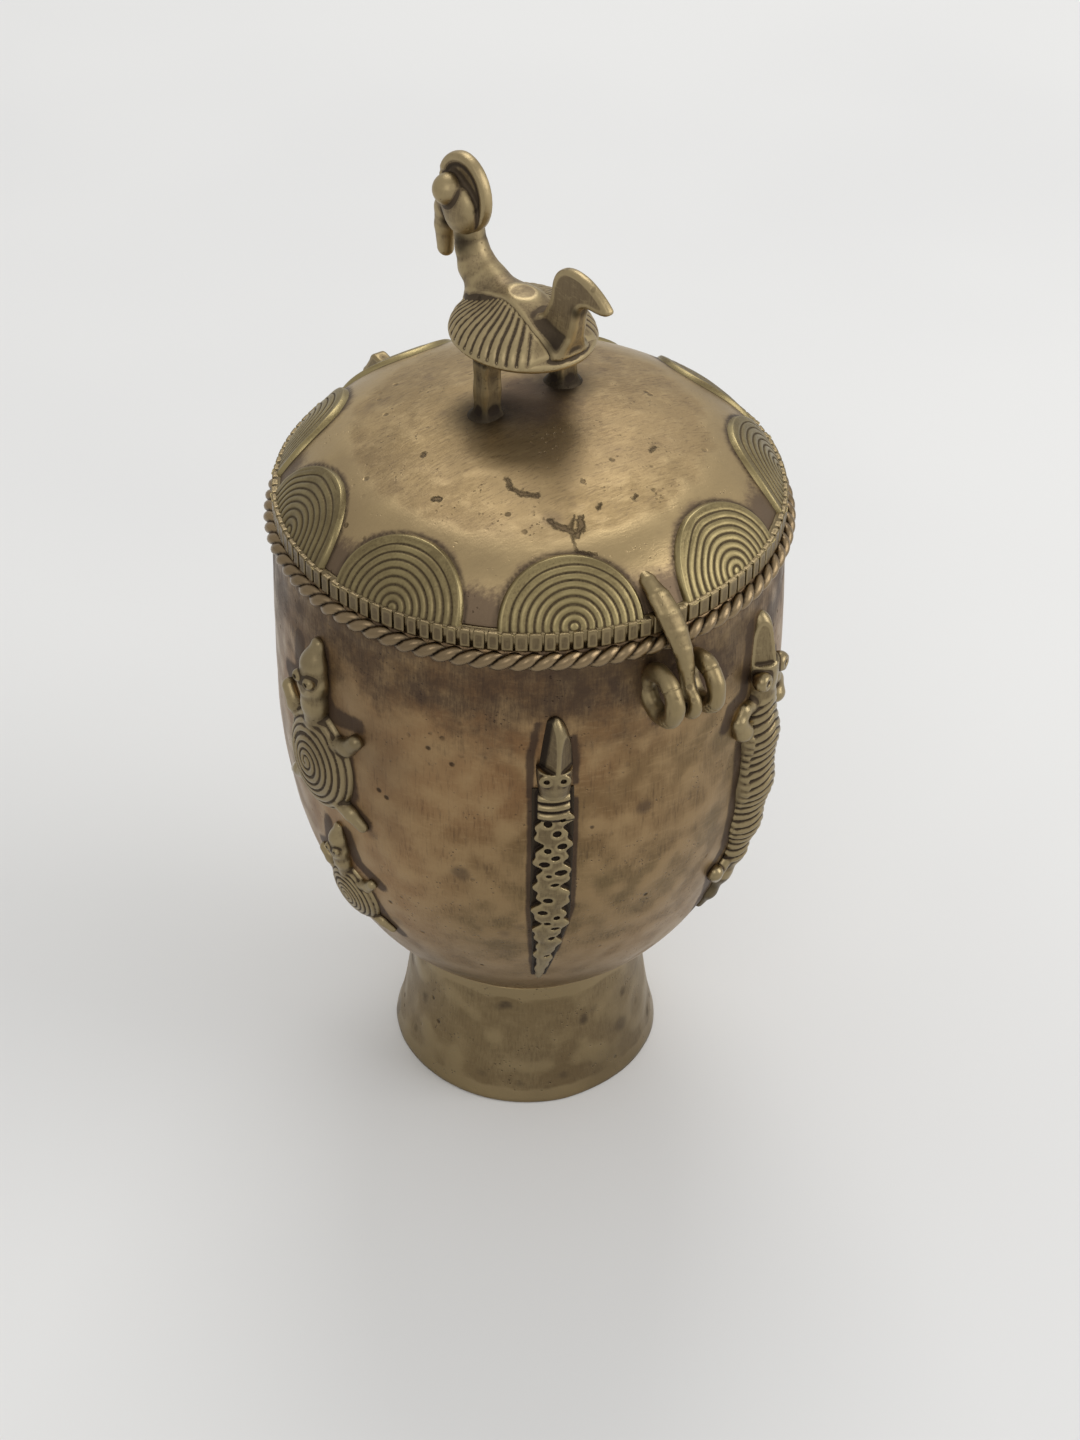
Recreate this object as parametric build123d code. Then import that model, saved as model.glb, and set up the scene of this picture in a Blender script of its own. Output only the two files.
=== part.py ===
"""A cast brass vessel of the Akan kuduo kind: footed bowl, hinged domed lid, hasp and a bird on top.

Millimetres, +Z up. The origin is the centre of the foot's resting face.
The hasp faces -Y and the hinge is opposite it at +Y.
Every raised piece was laid on in wax before casting, so each is cut to the surface that carries it.
"""
from build123d import *
import math
import os

# Foot
foot_radius = 41.5
foot_neck_radius = 36.0
foot_height = 44.0
foot_wall = 3.0
foot_waist_draw = 1.6

# Bowl
belly_radius = 73.5
belly_height = 155.0
bowl_pole_height = 33.0
belly_fullness = 2.6
rim_radius = 72.0
rim_height = 200.5
bowl_wall = 3.0
bowl_floor_height = 40.0
collar_height = 3.5
collar_wall = 2.2
collar_taper_depth = 14.0

# Twisted rope laid round the rim
rope_thickness = 5.5
rope_radius = 75.0
rope_drop = 2.9

# Lid
lid_seat_gap = 0.3
lid_collar_clearance = 0.8
band_radius = 72.4
band_height = 5.5
band_notches = 120
band_notch_width = 1.2
band_notch_depth = 1.0
dome_edge_radius = 69.9
dome_rise = 22.5
crown_radius = 180.0
crown_reach = 50.0
lid_wall = 2.8

# Half discs round the lid
disc_count = 9
disc_radius = 20.0
disc_thickness = 1.2
disc_tilt = 45.0
disc_start = 20.0
disc_hand_offsets = (-2.0, -0.5, -4.5, -2.0, 1.0, -1.5, -3.0, -5.5, -5.0)

# Rings on the bowl for the hasp and the hinge
ring_wire = 4.5
ring_mean_radius = 8.25
ring_reach = 81.0
ring_height = 182.0
ring_spacing = 13.3

# Hasp strap and its eye, on the lid
strap_root_width = 7.0
strap_end_width = 3.8
strap_thickness = 4.0
strap_root_reach = 64.0
strap_root_rise = 8.3
strap_edge_rise = 1.9
strap_knee_reach = 80.6
strap_knee_height = 199.5
eye_wire = 3.8
eye_mean_radius = 5.0
eye_reach = 83.4
eye_height = 181.0

# Hinge pin and leaf
pin_radius = 2.5
pin_clearance = 0.08
pin_ring_play = 0.1
pin_head_radius = 3.7
pin_head_length = 2.0
pin_end_play = 0.2
leaf_wire = 4.4
leaf_width = 4.6

# Relief animals on the bowl: places round it, and how far they stand out
panel_pitch = 60.0
snake_offset = 1.0
lizard_offset = -3.2
tortoise_offset = 3.4
small_tortoise_offset = 7.0
seat_gap = 0.04
strip_height = 1.3
limb_height = 3.0

# Snake
snake_head_top = 178.0
snake_head_bottom = 146.0
snake_tail_tip = 71.0
snake_tail_start = 104.0
snake_strip_half_width = 5.8
snake_tail_half_width = 1.8
snake_snout_half_width = 3.4
snake_body_half_width = 3.3
snake_sway = 1.7
snake_wave = 10.7
snake_wave_points = 5

# Lizard
lizard_middle = 128.0
lizard_half_length = 33.0
lizard_half_width = 8.0
lizard_proud = 5.0
lizard_head_height = 168.0
lizard_head_half_length = 16.0
lizard_head_half_width = 5.6
lizard_eye_height = 167.7
lizard_eye_spacing = 10.4
lizard_eye_radius = 2.7
lizard_eye_proud = 6.0
lizard_foot_height = 152.5
lizard_foot_side = 9.8
lizard_hind_height = 97.0
lizard_limb_width = 5.0
lizard_tail_tip = 73.0

# Tortoise, at its full size
tortoise_middle = 142.5
tortoise_half_length = 17.5
tortoise_half_width = 13.6
tortoise_proud = 5.0
tortoise_head_rise = 28.0
tortoise_head_half_length = 14.0
tortoise_head_half_width = 4.8
tortoise_eye_spacing = 4.7
tortoise_eye_radius = 1.8
tortoise_eye_proud = 6.4
tortoise_limb_width = 5.2
tortoise_limb_reach = 16.0
small_tortoise_middle = 92.0
small_tortoise_size = 0.68

# Bird on the lid
bird_x = 3.8
bird_y = 8.0
bird_turn = 6.0
bird_underside = 20.0
bird_half_length = 22.6
bird_half_width = 19.5
bird_back_rise = 13.0
bird_belly_drop = 4.0
leg_spread = 13.8
leg_width = 6.0
leg_depth = 5.0
leg_sunk = 6.0
wing_thickness = 1.0
wing_upper_edge = 6.6

# Bird's neck, beak and tail post as rings: how far forward, how high, and the radius there
neck_rings = ((17.0, 5.0, 9.0), (20.5, 14.0, 6.4), (23.5, 22.0, 4.7), (25.5, 29.0, 4.6))
beak_rings = ((31.0, 29.5, 3.0), (34.6, 24.0, 2.4), (35.6, 17.0, 1.9), (34.8, 10.5, 1.0))
tail_rings = ((-15.0, 3.0, 5.4), (-17.6, 12.0, 3.9), (-18.6, 20.0, 3.6), (-19.5, 25.0, 3.4))

# Bird's head, crest and eyes: forward place, height and sizes
head_place = (28.0, 31.5)
head_half_sizes = (6.6, 5.0, 6.8)
crest_place = (26.0, 34.4)
crest_radius = 10.4
crest_thickness = 3.2
crest_rounding = 1.3
bird_eye_place = (28.6, 33.8)
bird_eye_spacing = 8.8
bird_eye_radius = 3.7

# Bird's tail blade, seen from its side: forward place and height of each corner
blade_outline = (
    (-14.2, 16.0), (-13.8, 25.0), (-17.0, 28.8), (-22.0, 29.4), (-29.0, 26.5),
    (-35.6, 21.0), (-35.0, 19.0), (-30.5, 20.2), (-24.5, 21.4), (-23.0, 16.0),
)
blade_thickness = 3.4


# Heights and radii worked out from the sizes above
lid_base = rim_height + lid_seat_gap
band_top = lid_base + band_height
dome_top = band_top + dome_rise
collar_radius = dome_edge_radius - lid_wall - lid_collar_clearance
rope_centre_radius = rope_radius - rope_thickness / 2
rope_height = rim_height - rope_drop
wax_wire = ring_wire / 2


def bowl_outside(height):
    """Outside radius of the bowl: a full belly that draws in towards the foot and slightly to the rim."""
    if height < belly_height:
        share = (belly_height - height) / (belly_height - bowl_pole_height)
        return belly_radius * math.sqrt(1 - share ** belly_fullness)
    lift = (height - belly_height) / (rim_height - belly_height)
    return belly_radius - (belly_radius - rim_radius) * lift ** 2


def wall_slope(height):
    """How fast the bowl's outside radius grows with height."""
    return bowl_outside(height + 0.25) - bowl_outside(height - 0.25)


def off_the_wall(height, distance):
    """Radius and height of the point that lies a distance outside the bowl's outer curve."""
    slope = 2 * wall_slope(height)
    length = math.hypot(1, slope)
    return bowl_outside(height) + distance / length, height - distance * slope / length


def curve_heights(low, high, count):
    return [low + (high - low) * step / (count - 1) for step in range(count)]


def turned(profile):
    """A solid turned from an outline drawn in the plane of radius and height."""
    return revolve(Plane.XZ * profile, Axis.Z)


def outer_line(proud=0.0):
    """The bowl's outer curve from the foot's neck up to the rim, moved outwards by the distance given."""
    heights = curve_heights(foot_height + 10, rim_height, 6)
    spots = [(foot_neck_radius + proud, foot_height)] + [off_the_wall(height, proud) for height in heights]
    return Spline(spots, tangents=[(1.0, 0.9), (0.0, 1.0)])


def bowl_plug(proud=0.0):
    """The bowl's outside, filled and grown by the distance given, to seat or trim what is laid on it."""
    side = outer_line(proud)
    top = side @ 1
    caps = Polyline((top.X, top.Y), (0, top.Y), (0, foot_height), (foot_neck_radius + proud, foot_height))
    return turned(make_face([side, caps]))


def make_bowl():
    """The bowl's wall, closed at the bottom, with a turned-in lip that carries the lid's collar."""
    inner_spots = [off_the_wall(height, -bowl_wall) for height in curve_heights(foot_height + 12, 150, 4)]
    lip_start = rim_height - collar_taper_depth
    lip_radius = bowl_outside(lip_start) - bowl_wall
    collar_inside = collar_radius - collar_wall
    floor_top = bowl_floor_height + bowl_wall
    inside = Spline([(0, floor_top)] + inner_spots + [(lip_radius, lip_start)])
    floor_edge = foot_neck_radius - foot_wall
    outline = [
        outer_line(),
        Polyline(
            (rim_radius, rim_height),
            (collar_radius, rim_height),
            (collar_radius, rim_height + collar_height),
            (collar_inside, rim_height + collar_height),
            (collar_inside, rim_height - collar_taper_depth / 2),
            (lip_radius, lip_start),
        ),
        inside,
        Polyline((0, floor_top), (0, bowl_floor_height)),
        ThreePointArc(
            (0, bowl_floor_height),
            (floor_edge * 0.6, bowl_floor_height + (foot_height - bowl_floor_height) * 0.36),
            (floor_edge, foot_height),
        ),
        Line((floor_edge, foot_height), (foot_neck_radius, foot_height)),
    ]
    return turned(make_face(outline))


def make_foot():
    """The hollow flared foot, drawn in slightly half way up."""
    mid_height = foot_height / 2
    mid_radius = (foot_radius + foot_neck_radius) / 2 - foot_waist_draw
    outside = ThreePointArc((foot_radius, 0), (mid_radius, mid_height), (foot_neck_radius, foot_height))
    inside = ThreePointArc(
        (foot_neck_radius - foot_wall, foot_height),
        (mid_radius - foot_wall, mid_height),
        (foot_radius - foot_wall, 0),
    )
    outline = [
        outside,
        Line((foot_neck_radius, foot_height), (foot_neck_radius - foot_wall, foot_height)),
        inside,
        Line((foot_radius - foot_wall, 0), (foot_radius, 0)),
    ]
    return turned(make_face(outline))


def make_rope():
    """The rope as a plain round ring, flattened where it lies on the wall just under the rim."""
    low = rope_height - rope_thickness / 2
    high = rope_height + rope_thickness / 2
    wall = Polyline((0, low), (bowl_outside(low), low), (bowl_outside(high), high), (0, high), close=True)
    section = Pos(rope_centre_radius, rope_height) * Circle(rope_thickness / 2) - make_face(wall)
    return turned(section)


def shoulder_arc():
    """Centre and radius of the arc that leaves the crown smoothly and ends at the dome's edge."""
    crown_centre = dome_top - crown_radius
    lean = math.asin(crown_reach / crown_radius)
    edge_rise = band_top - crown_centre
    edge_square = dome_edge_radius ** 2 + edge_rise ** 2
    along = dome_edge_radius * math.sin(lean) + edge_rise * math.cos(lean)
    shift = (crown_radius ** 2 - edge_square) / (2 * (crown_radius - along))
    centre = (shift * math.sin(lean), crown_centre + shift * math.cos(lean))
    return centre, crown_radius - shift, lean


def dome_curve(grown):
    """The dome's curve from the axis to the band, moved outwards by the distance given."""
    (centre_r, centre_z), shoulder, lean = shoulder_arc()
    crown = crown_radius + grown
    reach = shoulder + grown
    crown_centre = dome_top - crown_radius
    joint = (crown * math.sin(lean), crown_centre + crown * math.cos(lean))
    mid_lean = lean / 2
    crown_mid = (crown * math.sin(mid_lean), crown_centre + crown * math.cos(mid_lean))
    edge = (centre_r + math.sqrt(reach ** 2 - (band_top - centre_z) ** 2), band_top)
    edge_lean = math.atan2(edge[0] - centre_r, edge[1] - centre_z)
    bend = (lean + edge_lean) / 2
    shoulder_mid = (centre_r + reach * math.sin(bend), centre_z + reach * math.cos(bend))
    crown_line = ThreePointArc((0, crown_centre + crown), crown_mid, joint)
    return [crown_line, ThreePointArc(joint, shoulder_mid, edge)], edge


def dome_plug(grown=0.0):
    """The lid's dome as if it were solid, standing on the band's top face."""
    curve, edge = dome_curve(grown)
    sides = Polyline(edge, (0, band_top), (0, dome_top + grown))
    return turned(make_face(curve + [sides]))


def lid_plug():
    """The whole outside of the lid, filled, to seat what is laid on it."""
    return dome_plug() + Pos(0, 0, lid_base) * extrude(Circle(band_radius), band_height)


def make_dome():
    return dome_plug() - dome_plug(-lid_wall)


def make_band():
    """The notched edge of the lid, a flat ring milled with upright nicks."""
    inner = dome_curve(-lid_wall)[1][0]
    nick = Rectangle(2 * band_notch_depth, band_notch_width)
    nicks = PolarLocations(band_radius, band_notches) * nick
    outline = Circle(band_radius) - Circle(inner) - nicks
    return Pos(0, 0, lid_base) * extrude(outline, band_height)


def disc_azimuth(index):
    """Turn of one half disc from the hasp line; the hand-laid discs are not quite even."""
    return disc_start + index * 360 / disc_count + disc_hand_offsets[index]


def make_disc(index, skin):
    """One half disc: a round plate bent over the dome's shoulder, standing on the band."""
    facing = Rot(0, 0, disc_azimuth(index))
    lean = math.radians(disc_tilt)
    outward = (0, -math.cos(lean), math.sin(lean))
    plane = Plane(origin=(0, -dome_edge_radius, band_top), x_dir=(1, 0, 0), z_dir=outward)
    plate = extrude(plane * Circle(disc_radius), disc_radius, both=True)
    return (facing * plate) & skin


def make_ring(side, facing, core):
    """One cast ring standing edge-on from the bowl's wall and sunk into it."""
    ring = Rot(0, 90, 0) * Torus(ring_mean_radius, wax_wire)
    ring = Pos(side * ring_spacing / 2, facing * ring_reach, ring_height) * ring
    return ring - core


def hinge_axis():
    """Where the pin's axis lies: resting outwards and upwards in the two rings."""
    play = ring_mean_radius - wax_wire - pin_radius - pin_ring_play
    shift = play / math.sqrt(2)
    return ring_reach + shift, ring_height + shift


def make_pin():
    """The hinge pin, a rod with both ends upset into heads."""
    reach, height = hinge_axis()
    half = ring_spacing / 2 + wax_wire + pin_end_play
    rod = Cylinder(pin_radius, 2 * half)
    heads = [
        Pos(0, 0, side * (half + pin_head_length / 2)) * Cylinder(pin_head_radius, pin_head_length)
        for side in (-1, 1)
    ]
    return Pos(0, reach, height) * (Rot(0, 90, 0) * (rod + heads))


def make_strap(plug, neighbour):
    """The hasp strap: springs from the lid, arches over band and rope and narrows to its eye."""
    spine = [
        (strap_root_reach, band_top + strap_root_rise),
        (band_radius + strap_thickness / 3, band_top + strap_edge_rise),
        (strap_knee_reach, strap_knee_height),
        (eye_reach, eye_height + eye_mean_radius + eye_wire / 4),
    ]
    path = Plane.YZ * Spline([(-reach, height) for reach, height in spine])
    sections = []
    for step in range(4):
        share = step / 3
        width = strap_root_width + (strap_end_width - strap_root_width) * share ** 2
        cut = Plane(origin=path @ share, x_dir=(1, 0, 0), z_dir=path % share)
        sections.append(cut * Ellipse(width / 2, strap_thickness / 2))
    return loft(sections) - plug - neighbour


def make_eye(strap):
    """The eye at the strap's end, which hangs between the bowl's two rings."""
    ring = Rot(0, 90, 0) * Torus(eye_mean_radius, eye_wire / 2)
    return Pos(0, -eye_reach, eye_height) * ring - strap


def make_leaf(plug):
    """The hinge leaf: an arm from the band, over the rope, ending in an eye round the pin."""
    reach, height = hinge_axis()
    bore = pin_radius + pin_clearance
    eye_radius = bore + leaf_wire / 2
    eye = Pos(0, reach, height) * (Rot(0, 90, 0) * Torus(eye_radius, leaf_wire / 2))
    arm_height = band_top - leaf_wire / 2
    spine = Polyline(
        (band_radius - leaf_wire / 2, arm_height),
        (reach - leaf_wire, arm_height),
        (reach, rope_height),
        (reach, height + eye_radius),
    )
    arm = extrude(Plane.YZ * trace(spine, leaf_wire), leaf_width / 2, both=True)
    hole = Pos(0, reach, height) * (Rot(0, 90, 0) * Cylinder(bore, leaf_width * 2))
    return arm + eye - hole - plug


def on_wall(azimuth):
    return Rot(0, 0, azimuth)


def patch(outline, azimuth, cover):
    """A raised patch whose outline is carried straight in to the wall and trimmed by the cover."""
    block = extrude(Plane.XZ * outline, belly_radius * 1.3)
    return (on_wall(azimuth) * block) & cover


def bump(half_width, half_height, proud, side, height, azimuth, core):
    """A rounded swelling on the wall, square to it."""
    slope = math.degrees(math.atan(2 * wall_slope(height)))
    blob = scale(Sphere(1), by=(half_width, proud, half_height))
    placed = Pos(side, -bowl_outside(height) * math.cos(side / belly_radius), height) * (Rot(slope, 0, 0) * blob)
    return (on_wall(azimuth) * placed) - core


def closed_outline(points):
    return make_face(Polyline(*points, close=True))


def mirrored(points):
    """An outline given on its right side only, from the bottom up, completed on the left."""
    return closed_outline(list(points) + [(-side, height) for side, height in reversed(points)])


def limb(points, width):
    """A bent limb of even width along a short line."""
    return trace(Polyline(*points), width)


def snake_body():
    """The outline of the body: it sways from side to side and thins towards the tail's tip."""
    left, right = [], []
    waves = (snake_head_bottom - snake_tail_tip) / snake_wave
    for height in curve_heights(snake_tail_tip, snake_head_bottom, int(waves * snake_wave_points)):
        share = min(1.0, (height - snake_tail_tip) / (snake_tail_start - snake_tail_tip))
        thin = snake_tail_half_width / 2
        half = thin + (snake_body_half_width - thin) * share
        middle = snake_sway * share * math.cos(2 * math.pi * (snake_head_bottom - height) / snake_wave)
        left.append((middle - half, height))
        right.append((middle + half, height))
    ends = [Line(left[0], right[0]), Line(left[-1], right[-1])]
    return make_face([Spline(left), Spline(right)] + ends)


def make_snake(azimuth, low_cover, high_cover):
    """A snake with a blunt wedge head and a body that winds down a shallow strip."""
    half = snake_strip_half_width
    strip = mirrored([(snake_tail_half_width, snake_tail_tip), (half, snake_tail_start), (half, snake_head_bottom)])
    shoulder = snake_head_top - (snake_head_top - snake_head_bottom) * 0.4
    snout = (snake_head_top + shoulder) / 2
    jaw = half * 0.9
    head = mirrored([(jaw, snake_head_bottom), (jaw, shoulder), (snake_snout_half_width, snout), (0.5, snake_head_top)])
    low = patch(strip, azimuth, low_cover)
    return low + patch(head, azimuth, high_cover) + patch(snake_body(), azimuth, high_cover)


def make_lizard(azimuth, core, high_cover):
    """A lizard head up, with a long full body, ring eyes, round feet and a tapering tail."""
    body = bump(lizard_half_width, lizard_half_length, lizard_proud, 0, lizard_middle, azimuth, core)
    head_sizes = (lizard_head_half_width, lizard_head_half_length, lizard_proud)
    head = bump(*head_sizes, 0, lizard_head_height, azimuth, core)
    tail_top = lizard_hind_height + lizard_limb_width
    tail_half = lizard_half_width / 2
    tail = patch(mirrored([(tail_half / 4, lizard_tail_tip), (tail_half, tail_top)]), azimuth, high_cover)
    parts = [head, tail]
    for side in (-1, 1):
        eye_side = side * lizard_eye_spacing / 2
        eye_sizes = (lizard_eye_radius, lizard_eye_radius, lizard_eye_proud)
        parts.append(bump(*eye_sizes, eye_side, lizard_eye_height, azimuth, core))
        for height, lift in ((lizard_foot_height, 1), (lizard_hind_height, -1)):
            elbow = height + lift * lizard_limb_width
            line = [(side * lizard_half_width / 2, elbow), (side * lizard_foot_side, elbow)]
            line.append((side * lizard_foot_side, height))
            parts.append(patch(limb(line, lizard_limb_width), azimuth, high_cover))
    return body + parts


def make_tortoise(azimuth, core, cover, middle, size):
    """A tortoise seen from above: domed oval shell, head up with two eyes, four bent legs."""
    proud = tortoise_proud * size
    shell = bump(tortoise_half_width * size, tortoise_half_length * size, proud, 0, middle, azimuth, core)
    head_height = middle + tortoise_head_rise * size
    head_sizes = (tortoise_head_half_width * size, tortoise_head_half_length * size, proud)
    parts = [bump(*head_sizes, 0, head_height, azimuth, core)]
    reach = tortoise_limb_reach * size
    knee = tortoise_half_length * size
    for side in (-1, 1):
        eye_sizes = (tortoise_eye_radius * size, tortoise_eye_radius * size, tortoise_eye_proud * size)
        parts.append(bump(*eye_sizes, side * tortoise_eye_spacing / 2 * size, head_height, azimuth, core))
        for way in (1, -1):
            line = [(side * reach * 0.4, middle + way * knee * 0.55), (side * reach * 0.8, middle + way * knee * 0.7)]
            line.append((side * reach, middle + way * knee * 0.9))
            parts.append(patch(limb(line, tortoise_limb_width * size), azimuth, cover))
    return shell + parts


def bird_frame():
    """The bird's own axes: X forwards, Y to its left, Z up from the base of its rim."""
    turn = math.radians(bird_turn)
    forwards = (-math.sin(turn), math.cos(turn), 0)
    return Plane(origin=(bird_x, bird_y, dome_top + bird_underside), x_dir=forwards, z_dir=(0, 0, 1))


def half_egg(rise, grown=0.0):
    """Half of the bird's body, above its rim for a positive rise and below it for a negative one."""
    whole = scale(Sphere(1), by=(bird_half_length + grown, bird_half_width + grown, abs(rise) + grown))
    room = Box(200, 200, 100, align=(Align.CENTER, Align.CENTER, Align.MIN if rise > 0 else Align.MAX))
    return whole & room


def make_bird_body():
    return half_egg(bird_back_rise) + half_egg(-bird_belly_drop)


def make_wing(side, body, others):
    """One wing: a thin plate over the flank, from the line beside the back down to the rim."""
    plate = half_egg(bird_back_rise, wing_thickness)
    front, rear = bird_half_length * 0.85, -bird_half_length * 0.5
    outer = bird_half_width * 1.4
    window = closed_outline([
        (front, side * wing_upper_edge),
        (rear, side * wing_upper_edge * 1.3),
        (rear * 1.6, side * bird_half_width),
        (rear * 1.6, side * outer),
        (front * 1.3, side * outer),
        (front * 1.3, side * wing_upper_edge),
    ])
    room = extrude(window, bird_back_rise * 2, both=True)
    return (plate & room) - body - others


def through(spots):
    """A rounded limb lofted through circles given as forward place, height and radius."""
    sections = []
    for index, (forward, height, radius) in enumerate(spots):
        before = spots[max(index - 1, 0)]
        after = spots[min(index + 1, len(spots) - 1)]
        heading = (after[0] - before[0], 0, after[1] - before[1])
        sections.append(Plane(origin=(forward, 0, height), x_dir=(0, 1, 0), z_dir=heading) * Circle(radius))
    return loft(sections)


def make_bird():
    """The bird's pieces in its own axes, each cut by the ones it grows from."""
    body = make_bird_body()
    neck = through(neck_rings) - body
    crest_disc = Rot(90, 0, 0) * Cylinder(crest_radius, crest_thickness)
    crest = Pos(crest_place[0], 0, crest_place[1]) * fillet(crest_disc.edges(), crest_rounding)
    head = Pos(head_place[0], 0, head_place[1]) * scale(Sphere(1), by=head_half_sizes) - neck
    crest = crest - neck - head
    tail_post = through(tail_rings) - body
    blade = extrude(Plane.XZ * closed_outline(blade_outline), blade_thickness / 2, both=True)
    pieces = {"bird_body": body, "bird_neck": neck, "bird_head": head, "bird_crest": crest}
    eyes = []
    for name, side in (("bird_eye_right", -1), ("bird_eye_left", 1)):
        eye = Pos(bird_eye_place[0], side * bird_eye_spacing / 2, bird_eye_place[1]) * Sphere(bird_eye_radius)
        pieces[name] = eye - head - crest - neck
        eyes.append(eye)
    pieces["bird_beak"] = through(beak_rings) - head - neck - crest - eyes
    pieces["bird_tail_post"] = tail_post
    pieces["bird_tail_blade"] = blade - tail_post
    pieces["bird_wing_right"] = make_wing(-1, body, [neck, tail_post])
    pieces["bird_wing_left"] = make_wing(1, body, [neck, tail_post])
    return pieces


def make_legs(body, plug):
    """The bird's two square legs, from the dome up into the underside of the body."""
    legs = {}
    length = bird_underside + leg_sunk + bird_belly_drop
    for name, side in (("bird_leg_right", -1), ("bird_leg_left", 1)):
        post = Box(leg_depth, leg_width, length, align=(Align.CENTER, Align.CENTER, Align.MIN))
        post = Pos(0, side * leg_spread, -bird_underside - leg_sunk) * post
        legs[name] = (bird_frame() * post) - body - plug
    return legs


def build():
    """Every node of the vessel and its lid by name."""
    core = bowl_plug(seat_gap)
    low_cover = bowl_plug(strip_height) - core
    high_cover = bowl_plug(limb_height) - core
    nodes = {"bowl": make_bowl(), "foot": make_foot(), "rim_rope": make_rope()}
    for place, facing in (("hasp", -1), ("hinge", 1)):
        nodes[place + "_ring_left"] = make_ring(-1, facing, core) - nodes["rim_rope"]
        nodes[place + "_ring_right"] = make_ring(1, facing, core) - nodes["rim_rope"]
    nodes["hinge_pin"] = make_pin()
    for turn, tag in ((0.5, "front"), (3.5, "back")):
        snake_azimuth = snake_offset - panel_pitch * turn
        nodes["snake_" + tag] = make_snake(snake_azimuth, low_cover, high_cover)
        nodes["lizard_" + tag] = make_lizard(lizard_offset + panel_pitch * turn, core, high_cover)
    for side, tag in ((-1, "left"), (1, "right")):
        azimuth = side * panel_pitch * 1.5
        large = (azimuth + tortoise_offset, core, high_cover, tortoise_middle, 1.0)
        small = (azimuth + small_tortoise_offset, core, high_cover, small_tortoise_middle, small_tortoise_size)
        nodes["tortoise_" + tag] = make_tortoise(*large)
        nodes["small_tortoise_" + tag] = make_tortoise(*small)
    plug = lid_plug()
    skin = dome_plug(disc_thickness) - dome_plug()
    nodes["lid_dome"] = make_dome()
    nodes["lid_band"] = make_band()
    for index in range(disc_count):
        nodes["lid_disc_%d" % (index + 1)] = make_disc(index, skin)
    strap = make_strap(plug, nodes["lid_disc_1"])
    nodes["hasp_strap"] = strap
    nodes["hasp_eye"] = make_eye(strap)
    nodes["hinge_leaf"] = make_leaf(plug)
    frame = bird_frame()
    for name, piece in make_bird().items():
        nodes[name] = frame * piece
    nodes.update(make_legs(nodes["bird_body"], plug))
    return nodes


def main():
    os.makedirs("parts", exist_ok=True)
    for name, shape in build().items():
        shape.label = name
        export_step(shape, "parts/%s.step" % name)


main()
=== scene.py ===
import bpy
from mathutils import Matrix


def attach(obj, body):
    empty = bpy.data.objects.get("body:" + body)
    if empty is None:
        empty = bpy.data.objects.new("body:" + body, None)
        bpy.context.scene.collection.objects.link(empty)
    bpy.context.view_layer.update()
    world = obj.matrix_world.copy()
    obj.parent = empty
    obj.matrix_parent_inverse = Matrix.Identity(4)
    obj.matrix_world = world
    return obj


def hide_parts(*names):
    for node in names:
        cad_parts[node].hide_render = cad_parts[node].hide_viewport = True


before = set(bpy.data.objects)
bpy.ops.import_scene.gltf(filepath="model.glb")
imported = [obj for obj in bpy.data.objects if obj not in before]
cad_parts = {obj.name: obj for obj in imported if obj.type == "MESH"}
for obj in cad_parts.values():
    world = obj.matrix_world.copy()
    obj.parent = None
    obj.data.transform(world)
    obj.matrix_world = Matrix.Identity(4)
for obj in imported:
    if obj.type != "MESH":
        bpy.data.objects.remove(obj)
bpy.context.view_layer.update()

from functools import reduce
from math import asin, cos, log, pi, radians, sin, sqrt

import bpy
import numpy as np
from mathutils import Matrix, Vector

# Sizes here are millimetres; a mesh turns to metres when it becomes a piece.
MM = 0.001

# Bowl and foot
foot_base_radius = 41.5
foot_neck_radius = 36.0
foot_height = 44.0
foot_wall = 3.0
foot_waist_draw = 1.6
belly_radius = 73.5
belly_height = 155.0
bowl_pole_height = 33.0
belly_fullness = 2.6
rim_radius = 72.0
rim_height = 200.5
bowl_wall = 3.0
bowl_floor_height = 40.0
collar_radius = 66.3
collar_wall = 2.2
collar_top = rim_height + 3.5

# Rope and lid
rope_centre_radius = 72.25
rope_height = 197.6
rope_thickness = 5.5
rope_turns = 43
lid_base = 200.8
band_top = 206.3
band_radius = 72.4
band_inner_radius = 67.3
band_nicks = 120
dome_top = 228.8
dome_edge_radius = 69.9
crown_radius = 180.0
crown_reach = 50.0
lid_wall = 2.8
crown_centre = dome_top - crown_radius

# Half discs
disc_count = 9
disc_radius = 20.0
disc_thickness = 1.2
disc_tilt = 45.0
disc_start = 20.0
disc_hand_offsets = (-2.0, -0.5, -4.5, -2.0, 1.0, -1.5, -3.0, -5.5, -5.0)
disc_azimuths = [disc_start + i * 360 / disc_count + disc_hand_offsets[i] for i in range(disc_count)]

# Rings, hasp and hinge
ring_wire = 4.5
ring_mean_radius = 8.25
ring_reach = 81.0
ring_height = 182.0
ring_spacing = 13.3
ring_root_radius = 71.6
hasp_turn = -2.6
hasp_inset = 3.0
hasp_lift = 2.5
hasp_mean_radius = 6.7
hasp_wire = 5.3
pin_radius = 2.5

# Bird
bird_x = 3.8
bird_y = 8.0
bird_turn = 6.0
bird_underside = 20.0
leg_spread = 13.8

# Feathers, in degrees round a wing
feather_pitch = 5.5
first_groove = 100.8

# Animals in relief
relief_sink = 1.2
snake_bars = (144.6, 153.9)
bar_pitch = 3.1
rib_pitch = 2.75
rib_lean = 0.42
shell_width = 0.775
shell_pitch = 2.35
tortoise_eye = (2.35, 29.6)

# Grooves of a half disc
groove_pitch = 2.2

# Screen colours that every finish shares
# The first tint below is the colour of painted shade in creases, recesses, under parts and on shaded sides; the
# snake's own spots and the tortoises' pupils share it.
shade_tint = (44, 37, 32)
pit_tint = (52, 40, 32)

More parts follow.
